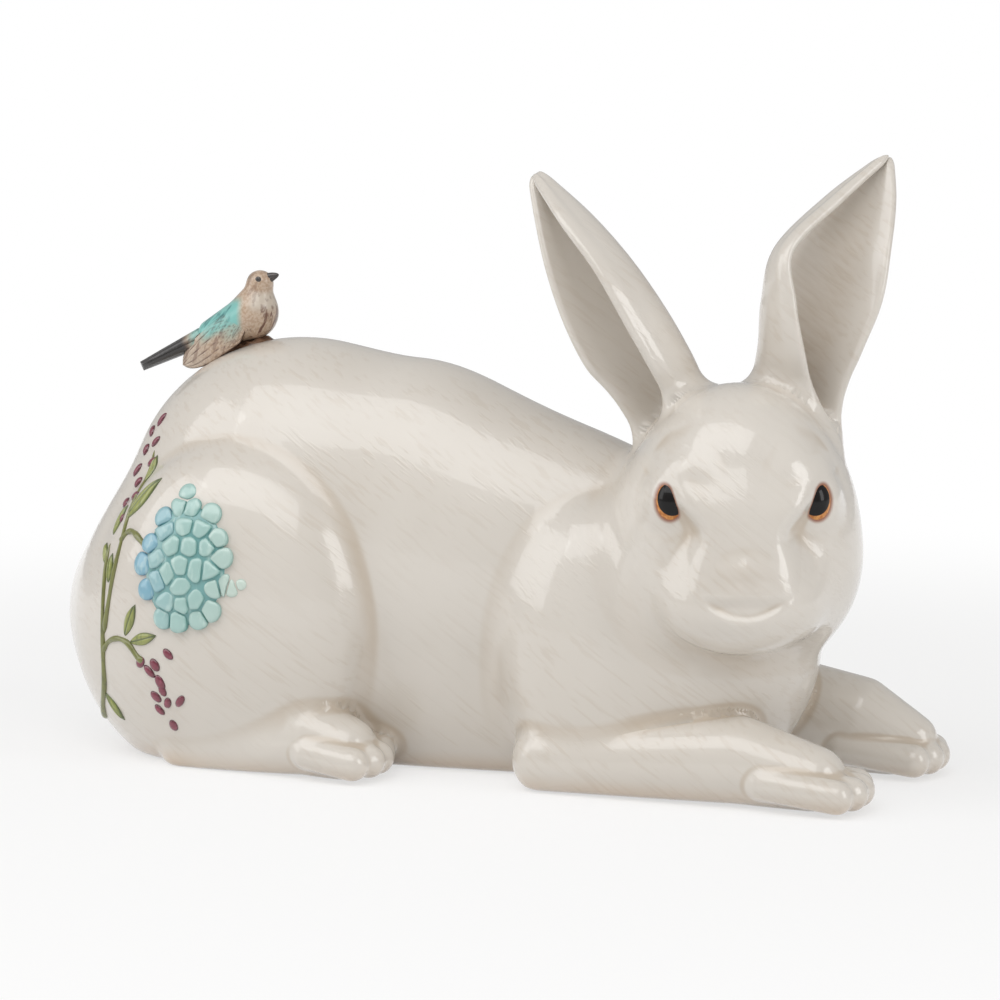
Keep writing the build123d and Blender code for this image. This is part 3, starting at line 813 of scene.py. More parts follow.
def make_limbs(material):
    """Forelegs, hind feet and tail, each fanned round its own axis, closer together at the toes."""
    stations, spokes = 260, 150

    def closer(share):
        return share + 0.09 * np.sin(2 * math.pi * share) * share

    for name, side in SIDES.items():
        axes = {
            "foreleg": ((56, 50, 13), (186 + further(side), 48, 13), 60),
            "hind_foot": ((-124, 56, 7), (-50, 59, 13), 50),
        }
        for limb_name, (first, last, far) in axes.items():
            node = f"{name}_{limb_name}"
            starts, ways = fan_ways(on_side(first, side), on_side(last, side), stations, spokes,
                                    closer)
            skin_piece(node + "_skin", node, share_of(node), starts, ways, stations, spokes, far,
                       material)
    stations, spokes = 90, 110
    starts, ways = fan_ways((-200, 0, 66), (-199, 0, 66), stations, spokes)
    skin_piece("tail_skin", "tail", share_of("tail"), starts, ways, stations, spokes, 60, material)


# The ears

# Rails of each ear in the head's frame, from root to tip: the rear edge, the front edge and the
# middle of the curl, then how far ahead the curl's two bends lie.
EAR_RAILS = {
    "right": {
        "rear": [(-39, -30, 29), (-54, -22, 54), (-68, -18, 71), (-79, -20, 92), (-87, -26, 115),
                 (-92, -34, 137), (-95.5, -42, 157)],
        "front": [(-21, -14, 26), (-31, -6, 54), (-40.5, 2, 74.5), (-53, 4, 96), (-66, 0, 118),
                  (-81, -12, 138), (-94.5, -40, 158)],
        "middle": [(-4, -36, 43.5), (-15, -32, 56), (-26, -30, 77), (-38, -31, 98), (-53, -34, 120),
                   (-70, -38, 140), (-92, -43, 160)],
        "bends": [(-46, -26), (-44, -20), (-46, -14), (-48, -14), (-50, -18), (-50, -26),
                  (-44, -42)],
    },
    "left": {
        "rear": [(45, -14, 37), (46.5, -10, 57), (54, -6, 79), (63.5, -8, 102), (68, -14, 125),
                 (71.5, -28, 147), (71.6, -42, 166)],
        "front": [(43, -8, 34.5), (32, -2, 61), (27, 4, 80), (23, 4, 103), (22.6, -2, 126),
                  (47, -22, 148), (70.5, -40, 167)],
        "middle": [(7, -38, 43), (8, -34, 55.5), (13.5, -31, 79), (17, -32, 100), (24.5, -34, 124),
                   (45, -40, 147), (68.5, -43, 166)],
        "bends": [(-50, -26), (-48, -20), (-48, -14), (-50, -14), (-50, -18), (-50, -30),
                  (-42, -42)],
    },
}
EAR_HALF_THICKNESS = 3.0
EAR_TIP = 0.96
EAR_WASH = {"right": 0.95, "left": 0.3}
# How strongly the ears' roots take the tan wash and painted shade in their hollows
EAR_HOLLOW_WASH_AND_SHADE = 0.25
ROOT_DROOP = math.radians(28.0)

# The lattice of the ears' roots: its step, the room round the sheet and how often it is smoothed
LATTICE = 1.1
LATTICE_ROOM = 16.0
LATTICE_BLURS = 5


def ear_sheet(rails, rows, columns):
    """The middle sheet of an ear: at each height a cubic Bezier section from the rear edge round
    the two bends of the curl to the front edge."""
    rear, front, middle = (np.array(rails[key], float) for key in ("rear", "front", "middle"))
    back, fore = np.array(rails["bends"], float).T
    aim = (middle[:, 0] - 0.125 * (rear[:, 0] + front[:, 0])) / 0.75
    first = np.stack([0.8 * aim + 0.2 * rear[:, 0], back, middle[:, 2]], axis=-1)
    second = np.stack([1.2 * aim - 0.2 * rear[:, 0], fore, middle[:, 2]], axis=-1)
    controls = np.stack([rear, first, second, front], axis=1)
    controls = smooth_through(controls, np.linspace(0, 1, rows))
    step = np.linspace(0, 1, columns)
    rest = 1 - step
    weights = np.stack([rest ** 3, 3 * step * rest ** 2, 3 * step ** 2 * rest, step ** 3])
    return np.einsum("rjk,jc->rck", controls, weights)


def ear_thickness(share, across):
    """Half the ear's thickness: thicker in a rim just inside its edges, thinner to the tip."""
    rim = np.exp(-np.square((across - 0.93) / 0.09))
    return EAR_HALF_THICKNESS * (0.74 + 0.28 * rim) * (1 - 0.25 * share)


def framed_sheet(name, rows, columns):
    """An ear's middle sheet in the part's frame, with its directions along, over and square out."""
    sheet = ear_sheet(EAR_RAILS[name], rows, columns) @ FACE + HEAD
    along, over = np.gradient(sheet, axis=0), np.gradient(sheet, axis=1)
    return sheet, unit(along), unit(over), unit(np.cross(along, over))


def ear_root(name):
    """The distance to the lower part of an ear, worked out on a lattice of points and read between
    them: from each point to the plane of the nearest place on the middle sheet, less its thickness.
    With it come the lowest and highest corners of the lattice."""
    rows, columns = 170, 60
    sheet, _, _, normal = framed_sheet(name, rows, columns)
    kept = rows * 2 // 5
    spots = sheet[:kept].reshape(-1, 3)
    squares = normal[:kept].reshape(-1, 3)
    share = np.linspace(0, 1, rows)[:kept, None]
    thickness = ear_thickness(share, np.abs(np.linspace(-1, 1, columns))[None]).ravel()
    low, high = spots.min(axis=0) - LATTICE_ROOM, spots.max(axis=0) + LATTICE_ROOM
    counts = np.ceil((high - low) / LATTICE).astype(int) + 1
    axes = [first + LATTICE * np.arange(count) for first, count in zip(low, counts)]
    lattice = np.stack(np.meshgrid(*axes, indexing="ij"), axis=-1).reshape(-1, 3)
    nearest = np.concatenate([
        np.argmin(np.square(spots).sum(-1) - 2 * block @ spots.T, axis=1)
        for block in np.array_split(lattice, 60)
    ])
    offset = lattice - spots[nearest]
    out = np.abs(np.einsum("ij,ij->i", offset, squares[nearest]))
    beyond = np.sqrt(np.maximum(np.square(offset).sum(-1) - out * out, 0))
    values = (np.hypot(out, np.maximum(beyond - 0.8, 0)) - thickness[nearest]).reshape(counts)
    for axis in [0, 1, 2] * LATTICE_BLURS:
        first_layer, last_layer = values.take([0], axis), values.take([-1], axis)
        padded = np.concatenate([first_layer, values, last_layer], axis=axis)
        count = values.shape[axis]
        before, after = (padded.take(range(first, first + count), axis) for first in (0, 2))
        values = (before + 2 * values + after) / 4

    def form(points):
        place = np.clip((points - low) / LATTICE, 0, counts - 1.001)
        cell = place.astype(int)
        share = place - cell
        found = 0
        for corner in np.ndindex(2, 2, 2):
            weight = np.prod(np.where(corner, share, 1 - share), axis=-1)
            found = found + weight * values[tuple((cell + corner).T)]
        return found

    return form, low + 1, high - 1


def wrapped(field, edge):
    """A field on an ear's sheet carried round it: over its one face, round the far edge, back over
    the other face and round the near edge."""
    far_edge, near_edge = (np.repeat(field[:, [end]], edge, axis=1) for end in (-1, 0))
    return np.concatenate([field, far_edge, field[:, ::-1], near_edge], axis=1)


def make_ear(name, material):
    """An ear as a thick sheet: square out from both faces of its middle sheet, round its edges in
    half circles, and run into the head at its root, where the ways out droop."""
    rows, columns, edge = 240, 72, 8
    sheet, along, over, normal = framed_sheet(name, rows, columns)
    turn = (np.arange(edge) + 1)[None, :, None] * math.pi / (edge + 1)
    far_edge = np.cos(turn) * normal[:, -1:] + np.sin(turn) * over[:, -1:]
    near_edge = -np.cos(turn) * normal[:, :1] - np.sin(turn) * over[:, :1]
    square = np.concatenate([normal, far_edge, -normal[:, ::-1], near_edge], axis=1)
    count = square.shape[1]
    starts = wrapped(sheet, edge)
    height = clay(starts.reshape(-1, 3)).reshape(rows, count, 1)
    droop = ROOT_DROOP * (1 - eased(height, 2, 30))
    ways = np.cos(droop) * square - np.sin(droop) * wrapped(along, edge)
    share = np.linspace(0, 1, rows)[:, None]
    across = wrapped(np.abs(np.linspace(-1, 1, columns))[None], edge)
    blunt = np.clip((share - EAR_TIP) / (1 - EAR_TIP), 0, 1)
    thickness = ear_thickness(share, across) * np.sqrt(np.clip(1 - np.square(blunt), 0.02, 1))
    rooted = (1 - eased(share, 0.24, 0.36) + 0 * across).ravel()
    starts, ways, square, thickness = (starts.reshape(-1, 3), ways.reshape(-1, 3),
                                       square.reshape(-1, 3), thickness.ravel())

    def form(points, which):
        out = np.einsum("ij,ij->i", points - starts[which], square[which]) - thickness[which]
        found = distances(points)
        own = found.pop(name + "_ear")
        out = out + rooted[which] * (own - out)
        body = joined(found, points)
        return dipped(blended(out, body, EAR_REACH), out - body)

    far = reach_of(form, starts, ways, 32.0, coarse=17, halvings=11, numbered=True)
    points, faces = closed_tube((starts + far[:, None] * ways).reshape(rows, count, 3))
    sheet_column = wrapped(np.linspace(0, 1, columns)[None], edge)
    blush = eased(sheet_column, 0.02, 0.14) * (1 - eased(sheet_column, 0.5, 0.9))
    blush = blush * (np.arange(count) < columns) * (1 - eased(share, 0.55, 0.98))
    # Tan wash and painted shade in the hollows at the ear's root
    hollow = EAR_HOLLOW_WASH_AND_SHADE * np.append(rooted, [0, 0]) * hollowness(clay, points)
    put_mesh(f"{name}_ear_skin", points, faces, material, "glaze", [f"{name}_ear"],
             hollow=hollow, blush=EAR_WASH[name] * blush)


def make_eyes(material):
    """Each eye an ellipsoid on a grid whose pole looks where the pupil does, marked by its ring:
    the distance from the pupil's middle in pupil radii."""
    rows, columns = 60, 72
    rise = np.linspace(0, 1, rows + 2)[1:-1, None] * math.pi
    turn = circle(columns)[None]
    ball = np.stack([np.sin(rise) * np.cos(turn), np.cos(rise) + 0 * turn,
                     np.sin(rise) * np.sin(turn)], axis=-1)[::-1]
    for name, side in SIDES.items():
        middle = np.array([side * EYE_ASIDE, EYE_AHEAD, EYE_RISE])
        points, faces = closed_tube(ball * EYE_RADII + middle)
        ring = np.linalg.norm((points - middle - PUPIL_SHIFT * [side, 1, 1]) / PUPIL_RADII, axis=-1)
        put_mesh(f"{name}_eye_glass", points @ FACE + HEAD, faces, material, "eye_glaze",
                 [f"{name}_eye"], ring=ring)


# The flower spray

def on_rump(turns, rises):
    """Places on the rump's skin, and the directions out, round and up along it."""
    turns, rises = np.radians(np.asarray(turns, float)), np.asarray(rises, float)
    out = np.stack([-np.sin(turns), -np.cos(turns), 0 * turns], axis=-1)
    starts = np.stack([np.full_like(rises, RUMP_AXIS), 0 * rises, rises], axis=-1)
    points = starts + reach_of(clay, starts, out, 120)[:, None] * out
    normal = slopes(clay, points)
    up = unit(UPWARD - normal * normal[:, 2:])
    return points, normal, np.cross(up, normal), up


def onto_skin(points, normal):
    """Points moved along a normal on to the rabbit's skin, in three steps of their own distance."""
    for _ in range(3):
        points = points - clay(points)[:, None] * normal
    return points


def dome(rows, columns):
    """A round patch as polar rings: the radius share and the angle of each point."""
    radius = np.repeat(np.sin(np.linspace(0.04, 1, rows) * math.pi / 2), columns)
    return radius, np.tile(circle(columns), rows)


def relief(place, frame_axes, width, height, crown, rows, columns, outline=None, lift=0.0,
           fullness=2.6):
    """A small form lying on the skin: a rounded dome over an outline, lifted at its far end, and
    closed underneath. Returns its shape and its crown marks."""
    normal, aside, up = frame_axes
    radius, angle = dome(rows, columns)
    wide, high = radius * np.cos(angle), radius * np.sin(angle)
    if outline is not None:
        wide, high = outline(wide, high)
    flat = place + np.outer(wide * width, aside) + np.outer(high * height, up)
    top = np.sqrt(np.clip(1 - radius ** fullness, 0, 1))
    skin = onto_skin(flat, normal)
    raised = skin + np.outer(top * crown + lift * eased(high, -0.6, 1.0) - RELIEF_SUNK, normal)
    rings = raised.reshape(rows, columns, 3)
    under = (skin - RELIEF_DEPTH * normal).reshape(rows, columns, 3)[[-1, 0]]
    points, faces = closed_tube(np.concatenate([rings, under])[::-1])
    marks = np.concatenate([top, np.zeros(2 * columns)]).reshape(-1, columns)[::-1].ravel()
    return (points, faces), np.concatenate([marks, [0.0, 1.0]])


def leaf_outline(wide, high):
    """Pointed at both ends, widest a third of the way up."""
    return wide * np.clip(1 - np.abs(high) ** 1.7, 0.02, 1) ** 0.5, high


def petal_places(generator):
    """Where the petals sit over the flower, in millimetres aside and up, and their largest
    radius."""
    places = []
    for share, count, radius in FLOWER_RINGS:
        for number in range(count):
            step = (number + RING_TURN * share) / count
            angle = 2 * math.pi * step + generator.uniform(-0.16, 0.16)
            far = share * generator.uniform(0.9, 1.06)
            places.append((far * math.sin(angle) * FLOWER_HALF_WIDTH,
                           far * math.cos(angle) * FLOWER_HALF_HEIGHT,
                           radius * generator.uniform(0.9, 1.1)))
    return np.array(places + FLOWER_TUFTS)


def half_way(places, number, angles):
    """How far a petal reaches at each angle: half way to each of its neighbours and no further than
    its own radius, by a power mean that rounds its corners."""
    gaps = np.delete(places[:, :2], number, axis=0) - places[number, :2]
    apart = np.linalg.norm(gaps, axis=1)
    toward = np.cos(angles[:, None] - np.arctan2(gaps[:, 1], gaps[:, 0])[None])
    pull = np.maximum(toward, 0) * 2 / apart
    total = np.power(pull, PETAL_CORNERS).sum(axis=1) + places[number, 2] ** -PETAL_CORNERS
    return total ** (-1 / PETAL_CORNERS) - PETAL_SEAM


def make_flower(material):
    """The relief flower: low, flat petals set close over a cushion, each up to half way to the
    next."""
    (centre,), (normal,), (aside,), (up,) = on_rump([FLOWER_TURN], [FLOWER_RISE])
    generator = np.random.default_rng(7)
    (points, faces), crown = relief(centre, (normal, aside, up), FLOWER_HALF_WIDTH * CUSHION_SHARE,
                                    FLOWER_HALF_HEIGHT * CUSHION_SHARE, FLOWER_CROWN, 24, 64)
    put_mesh("flower_cushion_glazed", points, faces, material, "petal_glaze", ["flower_cushion"],
             crown=crown * 0.2, blue=np.full(len(crown), 0.1))
    shapes, crowns, blues, fades = [], [], [], []
    places = petal_places(generator)
    rows, columns = 10, 30
    for number, (wide, high, _) in enumerate(places):
        seat = onto_skin((centre + wide * aside + high * up)[None], normal)[0]
        (local_normal,) = slopes(clay, seat[None])
        local_up = unit(up - local_normal * (up @ local_normal))
        radii = np.tile(half_way(places, number, circle(columns)), rows)
        right = wide / FLOWER_HALF_WIDTH
        share = math.hypot(right, high / FLOWER_HALF_HEIGHT)
        axes = (local_normal, np.cross(local_up, local_normal), local_up)
        (points, faces), mark = relief(
            seat, axes, 1, 1, PETAL_CROWN * generator.uniform(0.8, 1.2), rows, columns,
            lambda across, along: (across * radii, along * radii), fullness=3.2)
        raised = FLOWER_CROWN * math.sqrt(max(0.0, 1 - share ** 2.6))
        raised = raised + (points - seat) @ local_up * PETAL_TILT
        shapes.append((points + np.outer(raised * (mark > 0), local_normal), faces))
        crowns.append(mark)
        blue = -right * 0.95 - 0.3 + generator.uniform(-0.15, 0.2)
        blues.append(np.full(len(mark), np.clip(blue, 0, 1)))
        fades.append(np.full(len(mark), np.clip(0.5 * right + 0.8 * (share - 1), 0, 0.75)))
    points, faces = several(shapes)
    put_mesh("flower_petals_glazed", points, faces, material, "petal_glaze", ["flower_petals"],
             crown=np.concatenate(crowns), blue=np.concatenate(blues), fade=np.concatenate(fades))


def stem_shape(route, thick, thin, rows=70, columns=14):
    """A tapering stem half sunk in the skin along a smooth route round the rump."""
    turns, rises = smooth_through(np.array(route, float), np.linspace(0, 1, rows)).T
    line, normal, _, _ = on_rump(turns, rises)
    side = np.cross(unit(np.gradient(line, axis=0)), normal)
    turn = circle(columns)[None, :, None]
    share = np.linspace(0, 1, rows)
    ends = np.sqrt(np.clip(np.minimum(share, 1 - share) * 22, 0.05, 1))
    radius = (thick + (thin - thick) * share) * (1 + 0.10 * np.sin(share * 23)) * ends
    ring = np.cos(turn) * side[:, None] + np.sin(turn) * normal[:, None]
    points, faces = closed_tube((line[:, None] + radius[:, None, None] * ring)[:, ::-1])
    crown = np.tile(np.sin(turn[0, ::-1, 0]), rows) * 0.5 + 0.5
    return (points, faces), np.concatenate([crown, [0.5, 0.5]])


def make_stems(material):
    """The stems, each with its radius at both ends."""
    routes = [(MAIN_STEM, 1.7, 1.1), (SECOND_STEM, 1.4, 0.8), (FLOWER_STEM, 1.2, 1.8),
              (LOWER_STEM, 1.2, 1.7)]
    made = [stem_shape(*route) for route in routes]
    points, faces = several([shape for shape, _ in made])
    put_mesh("stems_glazed", points, faces, material, "stem_glaze", ["flower_stems"],
             crown=np.concatenate([crown for _, crown in made]))


def make_leaves(material):
    """Leaves lying on the skin, with a pressed midrib."""
    shapes, crowns = [], []
    for turn, rise, lean, length in LEAF_PLACES:
        (place,), (normal,), (aside,), (up,) = on_rump([turn], [rise])
        angle = math.radians(lean)
        heading = up * math.cos(angle) - aside * math.sin(angle)
        axes = (normal, np.cross(heading, normal), heading)
        (points, faces), mark = relief(place, axes, length * LEAF_HALF_WIDTH, length / 2,
                                       LEAF_CROWN, 14, 40, leaf_outline, 0.5)
        off = np.abs((points - place) @ axes[1]) / (length * 0.19)
        rib = np.exp(-np.square(off / 0.13)) * (mark > 0.25)
        shapes.append((points - np.outer(0.5 * rib, normal), faces))
        crowns.append(np.clip(mark - 0.75 * rib, 0, 1))
    points, faces = several(shapes)
    put_mesh("leaves_glazed", points, faces, material, "leaf_glaze", ["leaves"],
             crown=np.concatenate(crowns))


def make_berries(material):
    """Berries as plump ellipsoids half sunk in the skin, each turned its own way."""
    generator = np.random.default_rng(11)
    for node, places in BERRY_PLACES.items():
        turns, rises = np.array(places, float).T
        shapes, crowns = [], []
        for place, normal, aside, up in zip(*on_rump(turns, rises)):
            lean = generator.uniform(-0.9, 0.9)
            heading = up * math.cos(lean) + aside * math.sin(lean)
            axes = (normal, np.cross(heading, normal), heading)
            width, height, crown = (generator.uniform(*span) for span in BERRY_SIZES)
            shape, mark = relief(place, axes, width, height, crown, 9, 22)
            shapes.append(shape)
            crowns.append(mark)
        points, faces = several(shapes)
        put_mesh(node + "_glazed", points, faces, material, "berry_glaze", [node],
                 crown=np.concatenate(crowns))


# The bird

def bird_form(place):
    """Breast, belly, rump, neck and head run together, from where the bird stands."""
    form = blended(limb(place, *BIRD_TRUNK), limb(place, *BIRD_NECK), 5)
    return blended(form, ellipsoid(place, *BIRD_HEAD), 3)


def bird_marks(place):
    """Where the bird is turquoise, pale, streaked or dark."""
    ahead, aside, up = place.T
    back = up - ahead * 0.62 - 14.0 + 0.25 * np.abs(aside)
    teal = eased(back, -3.0, 3.0) * (1 - eased(up, 24, 29)) * eased(-ahead, -5.5, -0.5)
    pale = eased(ahead, 6, 11) * (1 - eased(up, 28, 32)) * eased(up, 19, 24)
    streaky = 0.35 + 0.65 * eased(ahead, 3, 9) * (1 - eased(up, 20, 25))
    dark = 0.45 * eased(up, 34.5, 38) * eased(-ahead, -8, -4)
    return {"teal": teal, "pale": pale, "streaky": streaky, "dark": dark}


def bird_piece(node, form, first, last, rows, columns, material):
    """A piece of the bird fanned round its own axis."""
    points, faces = fanned(form, first, last, rows, columns, 26)
    put_mesh(node + "_glazed", points + PERCH, faces, material, "bird_glaze", [node],
             **bird_marks(points))


def feather(length, width, thick, rows, columns, bow):
    """A flat plate of feathers in its own frame: length along X, width along Z, bowed in Y, its
    outline a blunt point. Returns rings along it, and its shares along and across."""
    along = np.linspace(0, 1, rows)[:, None]
    turn = circle(columns)[None]
    blunt = np.power(np.clip(1 - along ** 4.5, 0.006, 1), 0.6)
    half = width / 2 * np.sqrt(np.clip(along * 5, 0.01, 1)) * blunt
    across = np.cos(turn)
    root = np.sqrt(np.clip(along * 8, 0.02, 1))
    depth = thick / 2 * np.sin(turn) * root * (1 - 0.55 * along)
    place = np.stack([along * length + 0 * turn, depth - bow * np.square(along), half * across],
                     axis=-1)
    return place, along + 0 * turn, across + 0 * along


def turned(points, pitch, yaw, place):
    """Points turned by a pitch up or down, then by a yaw about the upright axis, and moved."""
    pitch, yaw = math.radians(pitch), math.radians(yaw)
    tilt = np.array([[math.cos(pitch), 0, math.sin(pitch)], [0, 1, 0],
                     [-math.sin(pitch), 0, math.cos(pitch)]])
    swing = np.array([[math.cos(yaw), -math.sin(yaw), 0], [math.sin(yaw), math.cos(yaw), 0],
                      [0, 0, 1]])
    return points @ (swing @ tilt).T + np.array(place)


def make_wing(name, side, material):
    """A folded wing: short feathers at the shoulder and long ones along the tip, each cut in by a
    dark line."""
    bow = side * WING_BOW
    place, along, across = feather(44, 16.5, 4.6, 120, 96, bow)
    long_feathers = np.abs(np.mod(across * 2.4 + along * 0.7, 1) - 0.5)
    line = np.exp(-np.square((0.5 - long_feathers) / 0.06)) * eased(along, 0.42, 0.5)
    scallop = np.mod(along * 7 + 0.45 * np.abs(np.mod(across * 3, 1) - 0.5) * 4, 1)
    short = np.exp(-np.square((scallop - 0.5) / 0.12)) * (1 - eased(along, 0.40, 0.48)) * 0.6
    line = np.maximum(np.maximum(line, short), 0.9 * eased(np.abs(across), 0.93, 0.995))
    place[..., 1] -= np.sign(place[..., 1] + bow * along ** 2) * WING_CUT * line
    points = turned(place * np.array([-1, 1, 1]), -33, side * 5, (5.0, side * 9.0, 17.0))
    points, line, along, across = (field[:, ::-1] for field in (points, line, along, across))
    points, faces = closed_tube(points)
    upper = eased(across, 0.0, 0.6) * (1 - eased(along, 0.45, 0.7))
    lower = 0.6 * (1 - eased(along, 0.15, 0.45)) * eased(across, -0.9, -0.2)
    put_mesh(f"{name}_wing_glazed", points + PERCH, faces, material, "wing_glaze",
             [f"bird_{name}_wing"], teal=(upper + lower).clip(0, 1) * 0.9,
             pale=0.4 * eased(along, 0.5, 0.8), streaky=0.5 + 0 * along, line=line)


def make_bird_tail(material):
    """The tail: a bundle of feathers, black but for its root, with cut lines along it."""
    place, along, across = feather(42, 12, 7.0, 90, 72, 0)
    line = np.exp(-np.square((np.abs(np.mod(across * 2.5, 1) - 0.5)) / 0.07))
    place[..., 1] -= np.sign(place[..., 1]) * TAIL_CUT * line
    flat = place[..., [0, 2, 1]] * np.array([-1, 1, TAIL_DEEPER])
    points, faces = closed_tube(turned(flat, -25, 0, (-17.5, 0, 9.0)))
    put_mesh("bird_tail_glazed", points + PERCH, faces, material, "bird_dark_glaze", ["bird_tail"],
             teal=(1 - eased(along, 0.15, 0.3)) * 0.8, streaky=np.ones(len(points)),
             dark=np.append(eased(along, 0.2, 0.36), [1, 1]), line=line * 0.6)


def beads(name, node, places, radii, material, slot, rows=18, columns=26):
    """Small ellipsoids in the bird's frame."""
    rise = np.linspace(-1, 1, rows + 2)[1:-1, None] * math.pi / 2
    turn = circle(columns)[None]
    ball = np.stack([np.cos(rise) * np.cos(turn), np.cos(rise) * np.sin(turn),
                     np.sin(rise) + 0 * turn], axis=-1)
    points, faces = several([closed_tube(ball * radii + place) for place in np.array(places)])
    put_mesh(name, points + PERCH, faces, material, slot, [node])


def make_beak(material):
    """A short curved beak: rings along a line that bends down, each narrower than the last, with
    a groove where it closes."""
    share = np.linspace(0, 1, 24)[:, None]
    turn = circle(28)[None]
    radius = BEAK_RADIUS * np.sqrt(np.clip(1 - share, 0.004, 1)) * np.clip(share * 6 + 0.55, 0, 1)
    groove = 0.28 * np.exp(-np.square((np.sin(turn) + 0.25) / 0.16)) * eased(share, 0.1, 0.3)
    place = np.stack([share * BEAK_LENGTH + 0 * turn, radius * 0.8 * np.cos(turn) * (1 - groove),
                      radius * np.sin(turn) - 0.8 * share ** 2], axis=-1)
    points, faces = closed_tube(turned(place, -28, 0, (12.6, 0, 36.2)))
    put_mesh("beak_glazed", points + PERCH, faces, material, "bird_dark_glaze", ["bird_beak"])


def make_perch(material):
    """The lump of clay under the bird: a wedge run up to its belly and down on to the back."""
    def form(place):
        ahead, aside, up = place.T
        return limb(place, *PERCH_LUMP) + 0.5 * np.sin(ahead * 0.9) * np.sin(up * 0.8 + aside * 0.5)

    points, faces = fanned(form, (-10, 0, 0.5), (10, 0, 0.5), 60, 90, 24)
    put_mesh("perch_glazed", points + PERCH, faces, material, "wing_glaze", ["bird_perch"])


def make_bird():
    """The bird with its wings, tail, beak, eyes and perch. Its body stops a little above the line
    where its head starts, and the head a little below it."""
    plumage = plumage_glaze()
    dark = dark_glaze()

    def body(place):
        return np.maximum(bird_form(place), (place[..., 2] - BIRD_COLLAR - 4) / 2)

    def crown(place):
        up = place[..., 2]
        over = 0.05 * (1 - eased(up, BIRD_COLLAR, BIRD_COLLAR + 4))
        return np.maximum(bird_form(place) + over, (BIRD_COLLAR - up) / 2)

    bird_piece("bird_body", body, (-13, 0, 10.5), (4, 0, 17), 110, 100, plumage)
    bird_piece("bird_head", crown, (7.6, 0, 27), (9.0, 0, 34), 80, 80, plumage)
    for name, side in SIDES.items():
        make_wing(name, side, plumage)
    make_bird_tail(plumage)
    make_beak(dark)
    beads("bird_eyes_glazed", "bird_eyes", [(10.6, side * 5.3, 36.3) for side in SIDES.values()],
          (1.6, 1.0, 1.6), dark, "bird_dark_glaze")
    make_perch(perch_glaze())


# The studio

def make_floor():
    """A plain pale floor that shows nearly white to the camera, whiter further out, and keeps the
    soft shadow."""
    mesh = bpy.data.meshes.new("floor")
    corners = [(-FLOOR_HALF, -FLOOR_HALF, 0), (FLOOR_HALF, -FLOOR_HALF, 0),
               (FLOOR_HALF, FLOOR_HALF, 0), (-FLOOR_HALF, FLOOR_HALF, 0)]
    mesh.from_pydata(corners, [], [(0, 1, 2, 3)])
    floor = bpy.data.objects.new("floor", mesh)
    bpy.context.collection.objects.link(floor)
    paper = Glaze("floor paper", roughness=0.9, coat=0.0)
    paper.shader.inputs["Base Color"].default_value = (0.92, 0.92, 0.92, 1)
    paper.shader.inputs["Specular IOR Level"].default_value = 0.0
    glow = paper.nodes.new("ShaderNodeEmission")
    path = paper.nodes.new("ShaderNodeLightPath")
    seen = paper.reckon("MAXIMUM", path.outputs["Is Camera Ray"], path.outputs["Is Glossy Ray"])
    reach = paper.nodes.new("ShaderNodeVectorMath")
    reach.operation = "LENGTH"
    paper.put(reach.inputs[0], paper.place)
    share = paper.reckon("MULTIPLY", seen, paper.ease(reach.outputs["Value"], 0.3, 0.9, 0.62, 1.0))
    mixed = paper.nodes.new("ShaderNodeMixShader")
    for socket, given in zip(mixed.inputs, (share, paper.shader.outputs[0], glow.outputs[0])):
        paper.put(socket, given)
    paper.put(paper.nodes["Material Output"].inputs["Surface"], mixed.outputs[0])
    mesh.materials.append(paper.material)


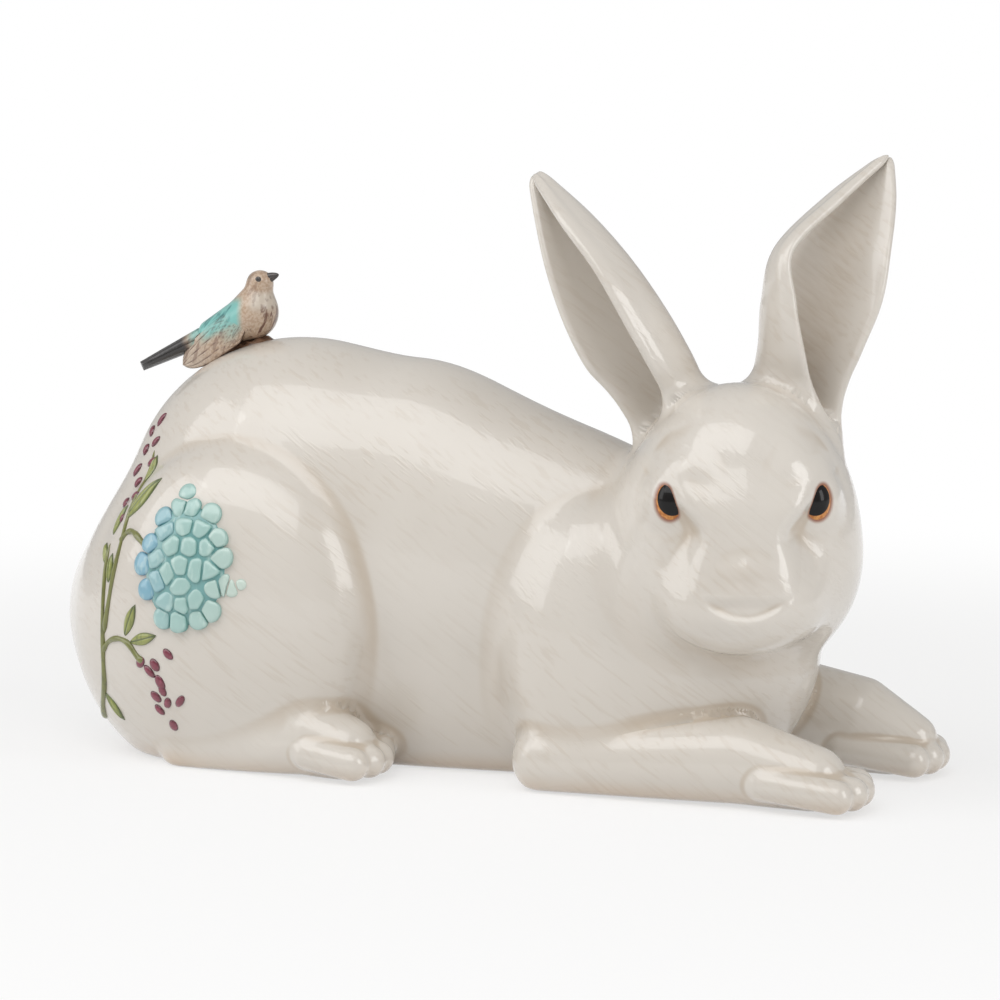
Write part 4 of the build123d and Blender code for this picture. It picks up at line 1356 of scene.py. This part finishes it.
def make_world():
    """Even light from all round, and white behind the object for the camera."""
    world = bpy.data.worlds.new("studio")
    bpy.context.scene.world = world
    world.use_nodes = True
    nodes, links = world.node_tree.nodes, world.node_tree.links
    around = nodes["Background"]
    around.inputs["Color"].default_value = (1.0, 0.99, 0.975, 1)
    around.inputs["Strength"].default_value = 0.46
    behind = nodes.new("ShaderNodeBackground")
    behind.inputs["Color"].default_value = (1, 1, 1, 1)
    path = nodes.new("ShaderNodeLightPath")
    mixed = nodes.new("ShaderNodeMixShader")
    given = (path.outputs["Is Camera Ray"], around.outputs[0], behind.outputs[0])
    for socket, source in zip(mixed.inputs, given):
        links.new(source, socket)
    links.new(mixed.outputs[0], nodes["World Output"].inputs["Surface"])


def softbox(name, place, width, height, power):
    """A large soft lamp at a place, aimed at the object, in metres and watts."""
    lamp = bpy.data.lights.new(name, "AREA")
    lamp.shape = "RECTANGLE"
    lamp.size = width
    lamp.size_y = height
    lamp.energy = power
    holder = bpy.data.objects.new(name, lamp)
    bpy.context.collection.objects.link(holder)
    holder.location = place
    aim = Vector(LAMP_AIM) - Vector(place)
    holder.rotation_euler = aim.to_track_quat("-Z", "Y").to_euler()


def make_studio():
    """Floor, world, three soft lamps and the camera."""
    make_floor()
    make_world()
    for lamp in LAMPS:
        softbox(*lamp)
    camera = bpy.data.cameras.new("camera")
    camera.lens = CAMERA_LENS
    camera.sensor_width = 36.0
    holder = bpy.data.objects.new("camera", camera)
    bpy.context.collection.objects.link(holder)
    level = math.cos(CAMERA_RISE)
    back = Vector((math.sin(CAMERA_TURN) * level, -math.cos(CAMERA_TURN) * level,
                   math.sin(CAMERA_RISE)))
    holder.location = (Vector(CAMERA_AIM) + back * CAMERA_AWAY) * MM
    holder.rotation_euler = (-back).to_track_quat("-Z", "Y").to_euler()
    bpy.context.scene.camera = holder
    bpy.context.scene.view_settings.view_transform = "Standard"


for ear_name in SIDES:
    PARTS[ear_name + "_ear"] = ear_root(ear_name)
ivory = ivory_glaze()
make_torso(ivory)
make_head(ivory)
make_limbs(ivory)
for ear_name in SIDES:
    make_ear(ear_name, ivory)
make_eyes(eye_glaze())
make_flower(petal_glaze())
make_stems(leaf_glaze("stem glaze", (0.19, 0.20, 0.045), (0.07, 0.07, 0.025)))
make_leaves(leaf_glaze("leaf glaze", (0.30, 0.33, 0.07), (0.09, 0.12, 0.03)))
make_berries(berry_glaze())
make_bird()
make_studio()
